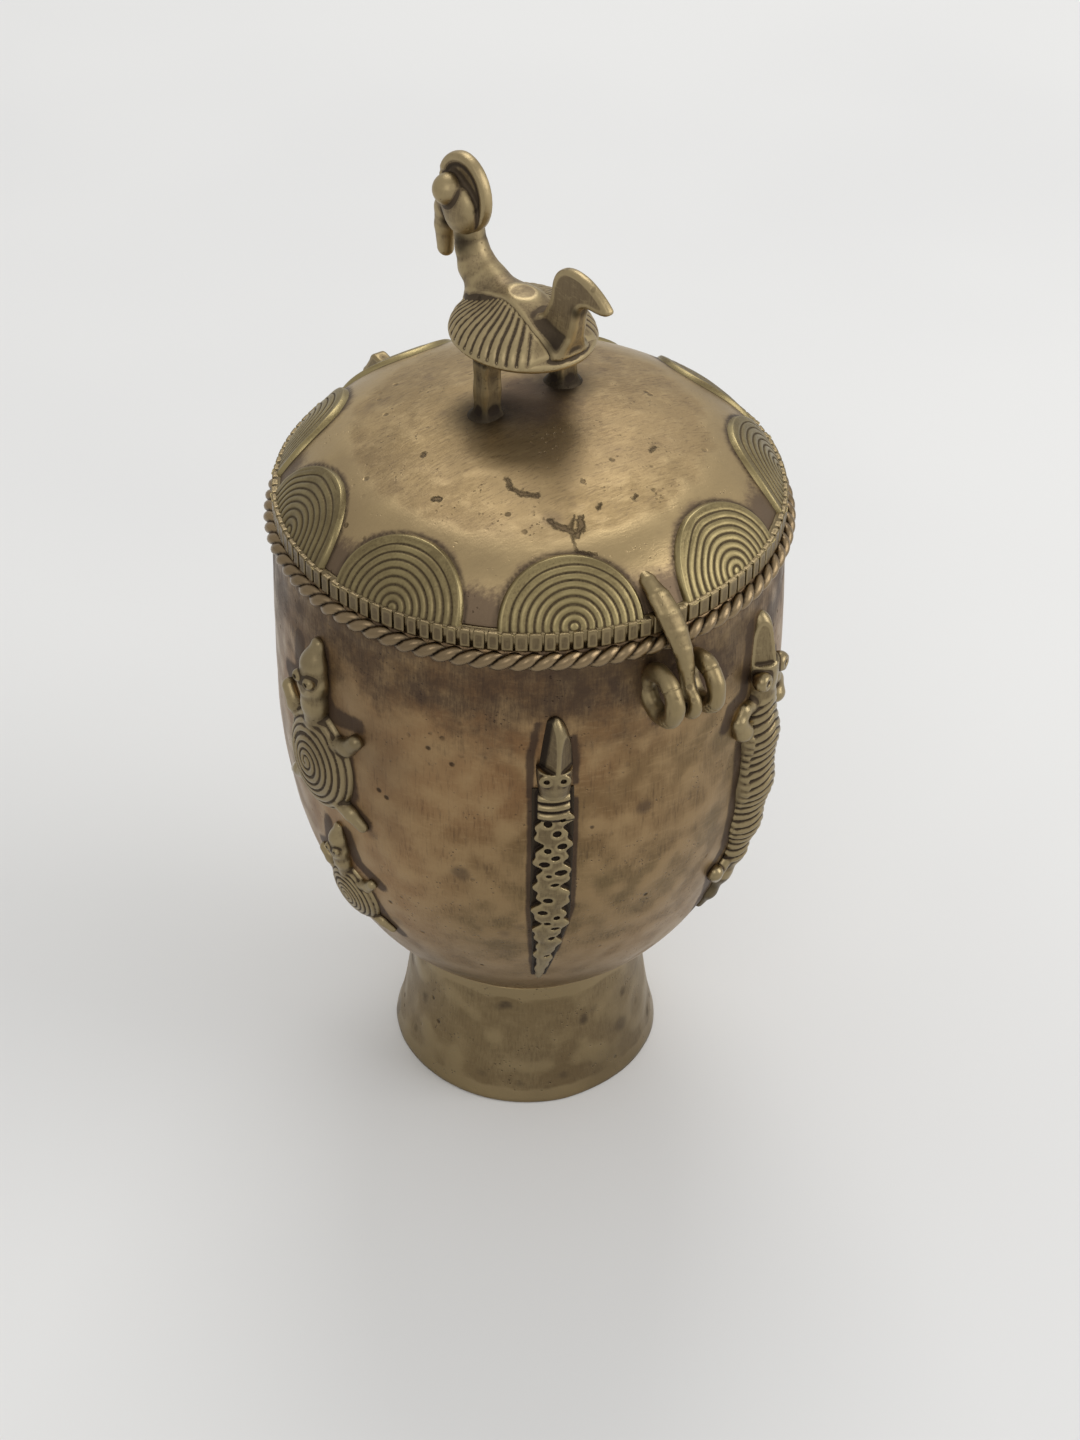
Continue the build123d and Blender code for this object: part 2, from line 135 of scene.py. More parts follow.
# Photograph's camera, in degrees and millimetres, and the level of the light all round
photo_turn = 34.5
camera_distance = 720.4
camera_height = 697.5
camera_pitch = 38.72
camera_yaw = 0.285
camera_roll = 0.648
camera_lens = 77.5
world_level = 0.68


def unit(value):
    """A value kept between 0 and 1."""
    return np.clip(value, 0, 1)


def most(*values):
    return reduce(np.maximum, values)


def least(*values):
    return reduce(np.minimum, values)


def length(offset):
    return np.linalg.norm(offset, axis=-1)


def parts(points):
    """The X, Y and Z of points, each by itself."""
    return points[..., 0], points[..., 1], points[..., 2]


def from_axis(points):
    return np.hypot(points[..., 0], points[..., 1])


def round_axis(radius, turn, height):
    """Points at a radius, a turn from -Y and a height."""
    return np.stack([radius * np.sin(turn), -radius * np.cos(turn), height], -1)


def pairs(line):
    """The two ends of each stretch of a broken line."""
    line = np.array(line, float)
    return zip(line[:-1], line[1:])


def line_gap(p, a, b):
    """Distance from a line between two places, and the share of the way along it."""
    way = b - a
    share = unit((p - a) @ way / (way @ way))
    return length(p - a - share[..., None] * way), share


def waves(seed, count, shortest, longest):
    """A smooth random field over space, made of sine waves with lengths in a range."""
    rng = np.random.default_rng(seed)
    heading = rng.normal(size=(count, 3))
    heading /= np.linalg.norm(heading, axis=1)[:, None]
    length = np.exp(rng.uniform(log(shortest), log(longest), count))
    phase = rng.uniform(0, 2 * pi, count)
    strength = length / length.max()

    def field(points):
        total = np.zeros(points.shape[:-1])
        for way, size, start, gain in zip(heading, length, phase, strength):
            total += gain * np.sin(points @ (way * 2 * pi / size) + start)
        return total / sqrt(np.sum(strength ** 2))

    return field


# Shapes of the vessel
def bowl_outside(height):
    height = np.asarray(height, float)
    share = np.clip((belly_height - height) / (belly_height - bowl_pole_height), 0, 0.9999)
    low = belly_radius * np.sqrt(1 - share ** belly_fullness)
    lift = (height - belly_height) / (rim_height - belly_height)
    high = belly_radius - (belly_radius - rim_radius) * lift ** 2
    return np.where(height < belly_height, low, high)


def wall_slope(height):
    return 2 * (bowl_outside(np.asarray(height) + 0.25) - bowl_outside(np.asarray(height) - 0.25))


def off_the_wall(height, distance):
    slope = wall_slope(height)
    length = np.hypot(1, slope)
    return bowl_outside(height) + distance / length, height - distance * slope / length


def on_wall(azimuth, side, height, out):
    """Points in the row frame from a distance along the wall, a height and a distance outside the wall."""
    radius, z = off_the_wall(height, out)
    turn = radians(azimuth) + side / bowl_outside(height)
    return round_axis(radius, turn, z)


def shoulder_arc():
    lean = asin(crown_reach / crown_radius)
    edge_rise = band_top - crown_centre
    along = dome_edge_radius * sin(lean) + edge_rise * cos(lean)
    shift = (crown_radius ** 2 - dome_edge_radius ** 2 - edge_rise ** 2) / (2 * (crown_radius - along))
    return shift * sin(lean), crown_centre + shift * cos(lean), crown_radius - shift


def dome_height(radius, grown=0.0):
    """Height of the dome's outside over a radius."""
    centre_r, centre_z, shoulder = shoulder_arc()
    crown = crown_centre + np.sqrt((crown_radius + grown) ** 2 - least(radius, 150.0) ** 2)
    off = np.clip((shoulder + grown) ** 2 - (radius - centre_r) ** 2, 0, None)
    joint = (crown_radius + grown) * crown_reach / crown_radius
    return np.where(radius < joint, crown, centre_z + np.sqrt(off))


# Modelling by distance: a form is a function that gives how far a point lies outside it
def smooth_least(a, b, soft):
    """The nearer of two distances, run together like wax over a soft width."""
    share = unit(0.5 + 0.5 * (b - a) / soft)
    return b + (a - b) * share - soft * share * (1 - share)


def egg(p, middle, halves):
    """Distance to an egg with the half sizes given."""
    q = (p - np.array(middle, float)) / np.array(halves, float)
    near = length(q)
    steep = length(q / np.array(halves, float))
    return near * (near - 1) / most(steep, 1e-6)


def limb(p, spots, soft):
    """Distance to a tapering round limb through spots given as x, y, z and radius."""
    total = None
    for a, b in pairs(spots):
        gap, share = line_gap(p, a[:3], b[:3])
        gap = gap - (a[3] + (b[3] - a[3]) * share)
        total = gap if total is None else smooth_least(total, gap, soft)
    return total


def hoop(p, middle, mean_radius, wire, axis=0):
    """Distance to a ring whose hole runs along an axis."""
    q = p - np.array(middle, float)
    flat = np.delete(q, axis, axis=-1)
    return np.hypot(length(flat) - mean_radius, q[..., axis]) - wire


def slab(p, middle, halves, rounding):
    q = np.abs(p - np.array(middle, float)) - (np.array(halves, float) - rounding)
    return length(most(q, 0)) + least(q.max(-1), 0) - rounding


def skin(form, low, high, step):
    """Points and faces of the surface where a form's distance is zero, over a box of space."""
    axes = [np.arange(a, b + step, step) for a, b in zip(low, high)]
    space = np.stack(np.meshgrid(*axes, indexing="ij"), -1)
    value = np.concatenate([form(part) for part in np.array_split(space, max(1, space.shape[0] // 24), axis=0)])
    wide, deep, high = np.array(value.shape) - 1
    corners = np.array([(i, j, k) for i in (0, 1) for j in (0, 1) for k in (0, 1)])
    inside = value < 0
    count = sum(inside[i:i + wide, j:j + deep, k:k + high].astype(np.int8) for i, j, k in corners)
    cells = np.argwhere((count > 0) & (count < 8))
    levels = value[tuple((cells[:, None] + corners).transpose(2, 0, 1))]
    total = np.zeros((len(cells), 3))
    hits = np.zeros(len(cells))
    for a, b in ((a, b) for a in range(8) for b in range(a + 1, 8) if a ^ b in (1, 2, 4)):
        cut = (levels[:, a] < 0) != (levels[:, b] < 0)
        share = np.where(cut, levels[:, a] / np.where(cut, levels[:, a] - levels[:, b], 1), 0)
        spot = corners[a] + share[:, None] * (corners[b] - corners[a])
        total += spot * cut[:, None]
        hits += cut
    points = np.array([axis[0] for axis in axes]) + (cells + total / hits[:, None]) * step
    number = np.full(value.shape, -1)
    number[tuple(cells.T)] = np.arange(len(cells))
    faces = []
    for axis in range(3):
        one, two = np.delete(np.eye(3, dtype=int), axis, axis=0)
        edges = np.argwhere(np.diff(inside, axis=axis))
        edges = edges[(edges @ one > 0) & (edges @ two > 0)]
        quads = np.stack([number[tuple((edges - d).T)] for d in (one + two, two, 0 * one, one)], -1)
        back = inside[tuple(edges.T)] == (axis == 1)
        quads[back] = quads[back][:, ::-1]
        faces.append(quads)
    faces = np.concatenate(faces)
    faces = faces[(faces >= 0).all(1)]
    for _ in range(3):
        points = settle(points, form, step * 0.2)
    return points, faces


def settle(points, form, small):
    """Points moved onto the surface along its slope."""
    here = form(points)
    slope = np.zeros_like(points)
    for axis in range(3):
        nudge = np.zeros(3)
        nudge[axis] = small
        slope[:, axis] = (form(points + nudge) - form(points - nudge)) / (2 * small)
    square = most((slope ** 2).sum(1), 0.25)
    move = slope * (here / square)[:, None]
    longest = np.linalg.norm(move, axis=1)
    return points - move * least(1, 3 * small / most(longest, 1e-9))[:, None]


# Meshes
def add_object(name, data):
    made = bpy.data.objects.new(name, data)
    bpy.context.scene.collection.objects.link(made)
    return made


def read(items, key, width, kind=float):
    """One value of a mesh's points, edges or triangles, as rows."""
    values = np.zeros(len(items) * width, kind)
    items.foreach_get(key, values)
    return values.reshape(-1, width)


def places(mesh):
    """A mesh's points in millimetres."""
    return read(mesh.vertices, "co", 3) / MM


def enclosed(mesh):
    """Volume inside a mesh, below zero where its faces look inwards."""
    mesh.calc_loop_triangles()
    a, b, c = places(mesh)[read(mesh.loop_triangles, "vertices", 3, int).T]
    return np.sum(a * np.cross(b, c)) / 6


def piece(node, points, faces, body, kind, marks=None, also=()):
    """A mesh made from points in millimetres and faces, dressed in place of a node."""
    mesh = bpy.data.meshes.new(node + "_cast")
    mesh.from_pydata((np.asarray(points) * MM).tolist(), [], [list(f) for f in faces])
    mesh.validate()
    if enclosed(mesh) < 0:
        mesh.flip_normals()
    dress(node, mesh, body, kind, marks, also)


def dress(node, mesh, body, kind, marks=None, also=()):
    """Links a mesh in place of a node and of any others it takes in, with its finish and painted marks."""
    mesh.shade_smooth()
    made = add_object(node + "_cast", mesh)
    marks = dict(marks or {})
    marks["hollow"] = hollows(mesh)
    for mark, values in marks.items():
        layer = mesh.attributes.new(mark, "FLOAT", "POINT")
        layer.data.foreach_set("value", np.asarray(values, np.float32))
    mesh.materials.clear()
    mesh.materials.append(finishes[kind])
    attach(made, body)
    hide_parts(node, *also)


def hollows(mesh, spread=6, rounds=2):
    """How far each point's neighbours stand above it, in millimetres: grooves positive, ridges negative."""
    spots = places(mesh)
    count = len(spots)
    normals = read(mesh.vertices, "normal", 3)
    a, b = read(mesh.edges, "vertices", 2, int).T
    degree = most(np.bincount(a, minlength=count) + np.bincount(b, minlength=count), 1)

    def average(values):
        total = np.zeros_like(values)
        np.add.at(total, a, values[b])
        np.add.at(total, b, values[a])
        return total / degree[:, None]

    soft = spots.copy()
    for _ in range(spread):
        soft = average(soft)
    depth = np.sum((soft - spots) * normals, axis=1)[:, None]
    for _ in range(rounds):
        depth = average(depth)
    return depth[:, 0]


def lathe(outline, around, shift=None):
    """Points and faces of an outline turned round Z; an end on the axis becomes a pole."""
    outline = np.asarray(outline, float)
    poles = [outline[0][0] < 1e-6, outline[-1][0] < 1e-6]
    rings = outline[(1 if poles[0] else 0):(len(outline) - 1 if poles[1] else len(outline))]
    turn = np.linspace(0, 2 * pi, around, endpoint=False)
    grid = round_axis(rings[:, :1], turn, np.repeat(rings[:, 1:], around, 1))
    if shift is not None:
        grid = shift(grid, rings)
    points = grid.reshape(-1, 3)
    index = np.arange(len(points)).reshape(len(rings), around)
    after = np.roll(index, -1, axis=1)
    faces = np.stack([index, after, np.roll(after, -1, axis=0), np.roll(index, -1, axis=0)], -1)
    faces = faces[:len(rings) - any(poles)].reshape(-1, 4).tolist()
    if poles[0]:
        faces += [[len(points), int(after[0][i]), int(index[0][i])] for i in range(around)]
        points = np.concatenate([points, [[0, 0, outline[0][1]]]])
    if poles[1]:
        faces += [[int(index[-1][i]), int(after[-1][i]), len(points)] for i in range(around)]
        points = np.concatenate([points, [[0, 0, outline[-1][1]]]])
    return points, faces


def push_out(grid, amount):
    """Points moved straight away from the upright axis."""
    return grid + grid * np.array([1, 1, 0]) / most(from_axis(grid), 1)[..., None] * amount[..., None]


# Node trees
def maths(operation, swap=False):
    """A method of a flow that adds one Math node."""
    def act(self, *others):
        values = [self, *others]
        return self.nodes.node("ShaderNodeMath", dict(enumerate(values[::-1] if swap else values)),
                               operation=operation)
    return act


class Flow:
    """A value inside a node tree; arithmetic on it adds Math nodes."""

    def __init__(self, nodes, socket):
        self.nodes = nodes
        self.socket = socket

    __add__ = __radd__ = maths("ADD")
    __sub__ = maths("SUBTRACT")
    __rsub__ = maths("SUBTRACT", swap=True)
    __mul__ = maths("MULTIPLY")
    __truediv__ = maths("DIVIDE")
    __pow__ = maths("POWER")
    least = maths("MINIMUM")
    most = maths("MAXIMUM")
    sine = maths("SINE")
    cosine = maths("COSINE")

    def step(self, low, high):
        """0 below low, 1 above high, smooth between."""
        return self.nodes.node("ShaderNodeMapRange", {0: self, 1: low, 2: high, 3: 0.0, 4: 1.0},
                               interpolation_type="SMOOTHSTEP")


class Nodes:
    """A node tree that grows by one node at a time."""

    def __init__(self, tree):
        self.tree = tree

    def plug(self, value, socket):
        if isinstance(value, Flow):
            self.tree.links.new(value.socket, socket)
        else:
            socket.default_value = value

    def node(self, kind, inputs=None, output=0, **settings):
        """One new node with its inputs, each a value or a flow, and its settings."""
        made = self.tree.nodes.new(kind)
        for key, value in settings.items():
            setattr(made, key, value)
        for key, value in (inputs or {}).items():
            self.plug(value, made.inputs[key])
        return Flow(self, made.outputs[output])


class Pattern(Nodes):
    """A geometry tree with named inputs that makes the mesh of a piece."""

    def __init__(self, name, inputs):
        super().__init__(bpy.data.node_groups.new(name, "GeometryNodeTree"))
        self.values = inputs
        self.tree.interface.new_socket("Geometry", in_out="OUTPUT", socket_type="NodeSocketGeometry")
        for label, value in inputs.items():
            kind = "NodeSocketInt" if isinstance(value, int) else "NodeSocketFloat"
            self.tree.interface.new_socket(label, in_out="INPUT", socket_type=kind)
        self.entry = self.tree.nodes.new("NodeGroupInput")
        self.exit = self.tree.nodes.new("NodeGroupOutput")

    def __getitem__(self, label):
        return Flow(self, self.entry.outputs[label])

    def join(self, parts):
        joined = self.tree.nodes.new("GeometryNodeJoinGeometry")
        for part in parts:
            self.plug(part, joined.inputs[0])
        return Flow(self, joined.outputs[0])

    def vector(self, x=0.0, y=0.0, z=0.0):
        return self.node("ShaderNodeCombineXYZ", {0: x, 1: y, 2: z})

    def along(self, way, amount):
        """A vector scaled by an amount."""
        return self.node("ShaderNodeVectorMath", {0: way, "Scale": amount}, operation="SCALE")

    def grow(self, geometry, finish):
        """The mesh that the tree makes, with its instances realized and its finish set."""
        real = self.node("GeometryNodeRealizeInstances", {0: geometry})
        dressed = self.node("GeometryNodeSetMaterial", {"Geometry": real, "Material": finish})
        self.plug(dressed, self.exit.inputs[0])
        start = add_object(self.tree.name, bpy.data.meshes.new(self.tree.name))
        modifier = start.modifiers.new("pattern", "NODES")
        modifier.node_group = self.tree
        for item in self.tree.interface.items_tree:
            if item.in_out == "INPUT":
                modifier[item.identifier] = self.values[item.name]
        graph = bpy.context.evaluated_depsgraph_get()
        mesh = bpy.data.meshes.new_from_object(start.evaluated_get(graph))
        start.modifiers.remove(modifier)
        bpy.data.objects.remove(start)
        return mesh


class Finish(Nodes):
    """One material, built from a few named patterns."""

    def __init__(self, name):
        self.material = bpy.data.materials.new(name)
        self.material.use_nodes = True
        super().__init__(self.material.node_tree)
        self.shader = self.tree.nodes["Principled BSDF"]
        self.place = self.node("ShaderNodeTexCoord", output="Object")

    def noise(self, scale, detail=4.0, roughness=0.55, stretch=None):
        """Noise over the piece, with its scale in features per metre, stretched where asked."""
        spot = self.place
        if stretch:
            spot = self.node("ShaderNodeMapping", {"Vector": spot, "Scale": stretch})
        return self.node("ShaderNodeTexNoise",
                         {"Vector": spot, "Scale": scale, "Detail": detail, "Roughness": roughness})

    def spots(self, scale):
        """Distance to the nearest of many scattered points."""
        return self.node("ShaderNodeTexVoronoi", {"Vector": self.place, "Scale": scale}, feature="F1")

    def mark(self, name):
        return self.node("ShaderNodeAttribute", output="Fac", attribute_name=name)

    def blend(self, share, under, over):
        """Colour that goes from under to over with the share."""
        return self.node("ShaderNodeMix", {0: share, 6: under, 7: over}, output=2, data_type="RGBA",
                         clamp_factor=True)

    def stroke(self, first, second):
        """Distance in millimetres from a line between two places, seen from above."""
        x, y = (self.node("ShaderNodeSeparateXYZ", {0: self.place}, output=i) * 1000.0 for i in (0, 1))
        way = (second[0] - first[0], second[1] - first[1])
        square = way[0] ** 2 + way[1] ** 2
        share = (((x - first[0]) * way[0] + (y - first[1]) * way[1]) / square).most(0.0).least(1.0)
        off_x = x - first[0] - share * way[0]
        off_y = y - first[1] - share * way[1]
        return (off_x * off_x + off_y * off_y) ** 0.5

    def feed(self, inputs):
        """Gives the shader its inputs, by name."""
        for name, value in inputs.items():
            self.plug(value, self.shader.inputs[name])

    def wear(self, colour, rough, bump_height, bump_depth):
        """Joins a colour, a roughness and a height of bump to the shader."""
        bump = self.node("ShaderNodeBump", {"Strength": 1.0, "Distance": bump_depth, "Height": bump_height})
        self.feed({"Base Color": colour, "Roughness": rough, "Normal": bump, "Metallic": 1.0})
        return self.material


def linear(red, green, blue):
    """A colour given as it looks on a screen, from 0 to 255, as the shader needs it."""
    def one(value):
        value = value / 255
        return value / 12.92 if value <= 0.04045 else ((value + 0.055) / 1.055) ** 2.4
    return (one(red), one(green), one(blue), 1.0)


# Casting flaws on the lid: lines seen from above, in millimetres, each with its half width
flaws = (
    (((-14.0, -41.4), (-16.6, -43.7), (-18.6, -47.3), (-19.9, -51.3), (-15.7, -54.2)), 0.42),
    (((-20.6, -39.7), (-19.6, -42.5), (-17.6, -45.6)), 1.1),
    (((-12.9, -42.6), (-14.6, -45.2), (-16.9, -47.1)), 1.3),
    (((-21.6, -20.7), (-22.6, -24.5), (-21.5, -27.6), (-18.3, -30.0)), 1.0),
    (((-40.6, -14.2), (-39.6, -15.2)), 0.9),
    (((-33.9, 2.2), (-32.9, 3.2)), 0.8),
    (((-6.8, -42.2), (-5.2, -41.2)), 0.7),
    (((4.2, -43.6), (5.4, -42.6)), 0.6),
    (((19.3, -29.8), (21.5, -28.6)), 0.6),
)


def brass(name, tints, pits=1.0, scratch=1.0, rough=0.42, flawed=False, grain=(1.0, 1.0, 0.16)):
    """Aged cast brass: rubbed bright on ridges, dark in hollows, stains and painted shade, blotched, brushed
    and pitted.
    """
    f = Finish(name + "_brass")
    metal, bright, dark, patch = (linear(*tint) for tint in tints)
    blotch = f.noise(12, 3, 0.5).step(0.36, 0.64)
    cloud = f.noise(24, 5, 0.6).step(0.3, 0.7)
    brushed = f.noise(1500, 4, 0.75, stretch=grain)
    crossed = f.noise(900, 3, 0.7, stretch=(0.15, 0.3, 1.0))
    hollow = f.mark("hollow")
    grime = f.noise(240, 4, 0.6)
    groove = (hollow * 20 + (grime - 0.5) * 0.6).step(0.06, 0.5)
    ridge = (hollow * -14 + (grime - 0.5) * 0.6).step(0.15, 0.7)
    shaded = (f.mark("shade") + (grime - 0.5) * 0.3).step(0.1, 0.95)
    haze = f.noise(10, 4, 0.55).step(0.5, 0.78) * 0.7
    # This mark holds real stains together with painted shade: under the rope, round and under the discs, and
    # under the bird.
    stain_and_shade = (f.mark("stain_and_shade") + (brushed - 0.5) * 0.5 + (f.noise(70, 6, 0.72) - 0.5) * 1.0).step(0.36, 0.85)
    pit, tarnish, small_pit = (
        (1 - f.spots(scale).step(*size)) * f.noise(patches, 3, 0.6).step(*edge) * pits
        for scale, size, patches,
        edge in ((190, (0.10, 0.2), 45, (0.55, 0.64)), (75, (0.14, 0.3), 30, (0.52, 0.6)),
                                           (700, (0.12, 0.26), 120, (0.52, 0.64))))
    colour = f.blend(blotch * 0.8, metal, patch)
    colour = f.blend((cloud * 0.6 + brushed * 0.8 - 0.45).step(0.05, 0.45) * 0.4, colour, bright)
    colour = f.blend(crossed.step(0.5, 0.7) * 0.35 * scratch, colour, bright)
    colour = f.blend((1 - brushed.step(0.3, 0.5)) * 0.4 * scratch, colour, dark)
    colour = f.blend(ridge * 0.75, colour, bright)
    colour = f.blend(groove.most(stain_and_shade).most(haze) * 0.85, colour, dark)
    colour = f.blend(tarnish * 0.55, colour, dark)
    # Painted shade: the shade mark pulls the colour towards the shade tint.
    colour = f.blend(shaded * 0.93, colour, linear(*shade_tint))
    flaw = pit * 0.0
    if flawed:
        ragged = f.noise(1100, 5, 0.8) * 2.6 - 1.3 + f.noise(300, 3, 0.6) * 3.0 - 1.5
        for line, half in flaws:
            for a, b in pairs(line):
                edge = f.stroke(a, b) - half * 0.6 + ragged * (0.3 + half * 0.6)
                flaw = flaw.most(1 - edge.step(-0.5, 0.45))
    colour = f.blend((pit + small_pit * 0.7).most(flaw * 0.8).least(1.0) * 0.8, colour, linear(*pit_tint))
    roughness = rough + groove.most(shaded).most(stain_and_shade) * 0.16 + pit * 0.2 - ridge * 0.1 + (cloud - 0.5) * 0.1
    height = brushed * 0.25 * scratch + crossed * 0.2 * scratch + grime * 0.35
    height = height - pit * 1.4 - small_pit * 0.9 - flaw * 2.5
    return f.wear(colour, roughness, height, 0.00022)


# Each finish: its metal, bright, dark and patch tints, and the settings it changes
finishes = {kind: brass(kind, tints, **changes) for kind, tints, changes in (
    ("bowl", ((118, 99, 69), (160, 134, 97), (70, 57, 49), (138, 102, 70)), {"grain": (1.0, 1.0, 0.1)}),
    ("foot", ((130, 112, 82), (156, 138, 104), (84, 72, 58), (116, 99, 74)), {"scratch": 0.5}),
    ("lid", ((142, 121, 86), (182, 159, 118), (96, 80, 68), (130, 108, 78)),
     {"pits": 0.6, "rough": 0.44, "flawed": True, "grain": (0.2, 1.0, 0.6)}),
    ("band", ((112, 98, 74), (142, 126, 94), (80, 68, 54), (98, 84, 64)), {"pits": 0.2}),
    ("disc", ((126, 112, 79), (160, 145, 104), (86, 74, 56), (112, 98, 70)), {"pits": 0.2, "rough": 0.46}),
    ("bird", ((134, 118, 90), (174, 156, 118), (80, 69, 58), (118, 102, 80)), {"pits": 0.4, "rough": 0.52}),
    ("rope", ((112, 95, 74), (146, 126, 96), (66, 55, 47), (96, 80, 64)), {"pits": 0.2}),
    ("fitting", ((112, 97, 72), (152, 135, 100), (70, 60, 48), (100, 86, 66)), {"pits": 0.4, "rough": 0.48}),
    ("relief", ((122, 107, 80), (156, 140, 106), (68, 57, 47), (108, 93, 71)), {"pits": 0.2}),
)}

swell = waves(3, 14, 40, 120)
hammer = waves(5, 40, 7, 22)


# Dark strokes on the wall beside the reliefs: place round the bowl in degrees, strokes as side and height,
# and a half width
dark_strokes = (
    (-89.6, (((-6, 178), (-7, 164), (-15, 161)), ((6, 182), (6.5, 166), (10, 161), (20, 163)),
             ((15, 150), (16, 136)),
             ((13, 133), (20, 128))), 3.6),
    (-83.0, (((4, 119), (6, 108), (14, 103)), ((-5, 118), (-7, 106), (-12, 103)),
             ((8, 96), (10, 86), (13, 80))), 2.6),
    (26.8, (((-6, 186), (-8, 172), (-9, 164), (-15, 163), (-17, 157)),
            ((6, 184), (8, 168), (13, 164), (16, 157)),
            ((-9.5, 148), (-9, 122), (-8, 106), (-12, 100), (-8, 88), (-5, 76)),
            ((9.5, 148), (9, 122), (6, 102), (4, 84))), 2.7),
    (-29.0, (((-4.5, 177), (-6.2, 166), (-6.4, 152)), ((5.5, 172), (6.0, 156)),
             ((-5.9, 150), (-5.9, 108), (-4, 80), (-3, 72)),
             ((6.0, 150), (6.0, 108), (2.0, 86))), 1.3),
    (0.0, (((-6.6, 186), (-6.6, 172)), ((6.6, 186), (6.6, 172)), ((-2, 187), (2, 175), (4, 170)),
           ((10, 186), (15, 176))), 2.6),
)


def wall_stain_and_shade(points):
    """How dark the bowl's wall is made: full on a stroke, none past its edge; the back repeats the front. Shade
    is painted under the rope, and the wall also darkens towards its top and its bottom.
    """
    turn = np.arctan2(points[:, 0], -points[:, 1])
    radius = from_axis(points)
    stain_and_shade = np.zeros(len(points))
    for azimuth, strokes, half in dark_strokes:
        for repeat in (0, 180):
            side = (turn - radians(azimuth + repeat) + pi) % (2 * pi) - pi
            here = np.stack([side * radius, points[:, 2]], -1)
            for line in strokes:
                for a, b in pairs(line):
                    stain_and_shade = most(stain_and_shade, unit(1.5 - line_gap(here, a, b)[0] / half))
    # Painted shade under the rope; below it, the wall darkens towards its top and its bottom.
    shade_under_rope = unit((points[:, 2] - 190) / 6) * 0.55
    upper = unit((points[:, 2] - 142) / 40) * 0.7
    lower = unit((80 - points[:, 2]) / 30) * 0.35
    return most(stain_and_shade, shade_under_rope, upper, lower) * ((radius > 60) | (points[:, 2] < 100))


def make_bowl():
    """The bowl: lathe-like but cast by hand, so its wall swells and dents a little."""
    heights = np.arange(foot_height + 1.0, rim_height - 0.6, 1.0)
    outer = [(float(bowl_outside(h)), float(h)) for h in heights]
    inner = [off_the_wall(h, -bowl_wall) for h in np.arange(184.0, 60.0, -6.0)]
    collar_inside = collar_radius - collar_wall
    outline = [(0, bowl_floor_height), (14, bowl_floor_height + 0.6), (26, 42.2), (33, foot_height),
               (35.6, foot_height)]
    outline += outer
    outline += [(rim_radius, rim_height - 0.6), (rim_radius - 0.5, rim_height), (69, rim_height),
                (66.8, rim_height)]
    outline += [(collar_radius, rim_height + 0.4), (collar_radius, collar_top - 0.5)]
    outline += [(collar_radius - 0.5, collar_top), (collar_inside + 0.5, collar_top)]
    outline += [(collar_inside, collar_top - 0.5), (collar_inside, rim_height - 7)]
    outline += [(float(r), float(z)) for r, z in inner]
    outline += [(30, 47.5), (14, 44.0), (0, bowl_floor_height + bowl_wall)]

    def shift(grid, rings):
        free = (rings[:, 1] > foot_height + 3) & (rings[:, 1] < rim_height - 6)
        outside = rings[:, 0] > bowl_outside(rings[:, 1]) - 1.0
        amount = (free & outside)[:, None] * (0.16 * swell(grid) + 0.07 * hammer(grid))
        return push_out(grid, amount)

    points, faces = lathe(outline, 440, shift)
    piece("bowl", points, faces, "vessel", "bowl", {"stain_and_shade": wall_stain_and_shade(points)})


def make_foot():
    """The hollow foot, with the wavy lower edge that the wax was left with."""
    mid_radius = (foot_base_radius + foot_neck_radius) / 2 - foot_waist_draw
    heights = np.linspace(0.5, foot_height - 0.2, 36)

    def flare(height):
        share = height / foot_height
        straight = foot_base_radius + (foot_neck_radius - foot_base_radius) * share
        bow = (mid_radius - (foot_base_radius + foot_neck_radius) / 2) * 4 * share * (1 - share)
        return straight + bow

    outer = [(float(flare(h)), float(h)) for h in heights]
    inner = [(float(flare(h)) - foot_wall, float(h)) for h in heights[::-3]]
    outline = [(40.9, 0.0)] + outer + [(36.0, foot_height), (33.0, foot_height)] + inner + [(38.9, 0.0)]

    def shift(grid, rings):
        level = unit(1 - rings[:, 1] / 12)[:, None]
        amount = 0.14 * swell(grid) + 0.08 * hammer(grid) - 0.35 * level * (1 + swell(grid * 1.7))
        outside = (rings[:, 0] > flare(rings[:, 1]) - 1.0)[:, None]
        return push_out(grid, amount * outside)

    points, faces = lathe(outline, 260, shift)
    piece("foot", points, faces, "vessel", "foot")


def disc_frame(azimuth):
    """Middle of a half disc's straight side, and the directions across, up the slope and out of it."""
    turn = radians(azimuth)
    lean = radians(disc_tilt)
    radial = np.array([sin(turn), -cos(turn), 0])
    across = np.array([cos(turn), sin(turn), 0])
    up = np.array([0, 0, 1.0])
    out = radial * cos(lean) + up * sin(lean)
    slope = -radial * sin(lean) + up * cos(lean)
    return radial * dome_edge_radius + up * band_top, across, slope, out


def disc_distance(points):
    """How far a point lies outside the nearest half disc, in millimetres."""
    nearest = np.full(points.shape[:-1], 1e3)
    for azimuth in disc_azimuths:
        middle, across, slope, out = disc_frame(azimuth)
        offset = points - middle
        gap = np.hypot(offset @ across, offset @ slope) - disc_radius
        gap = np.where(offset @ out < -25, 1e3, gap)
        nearest = least(nearest, gap)
    return nearest


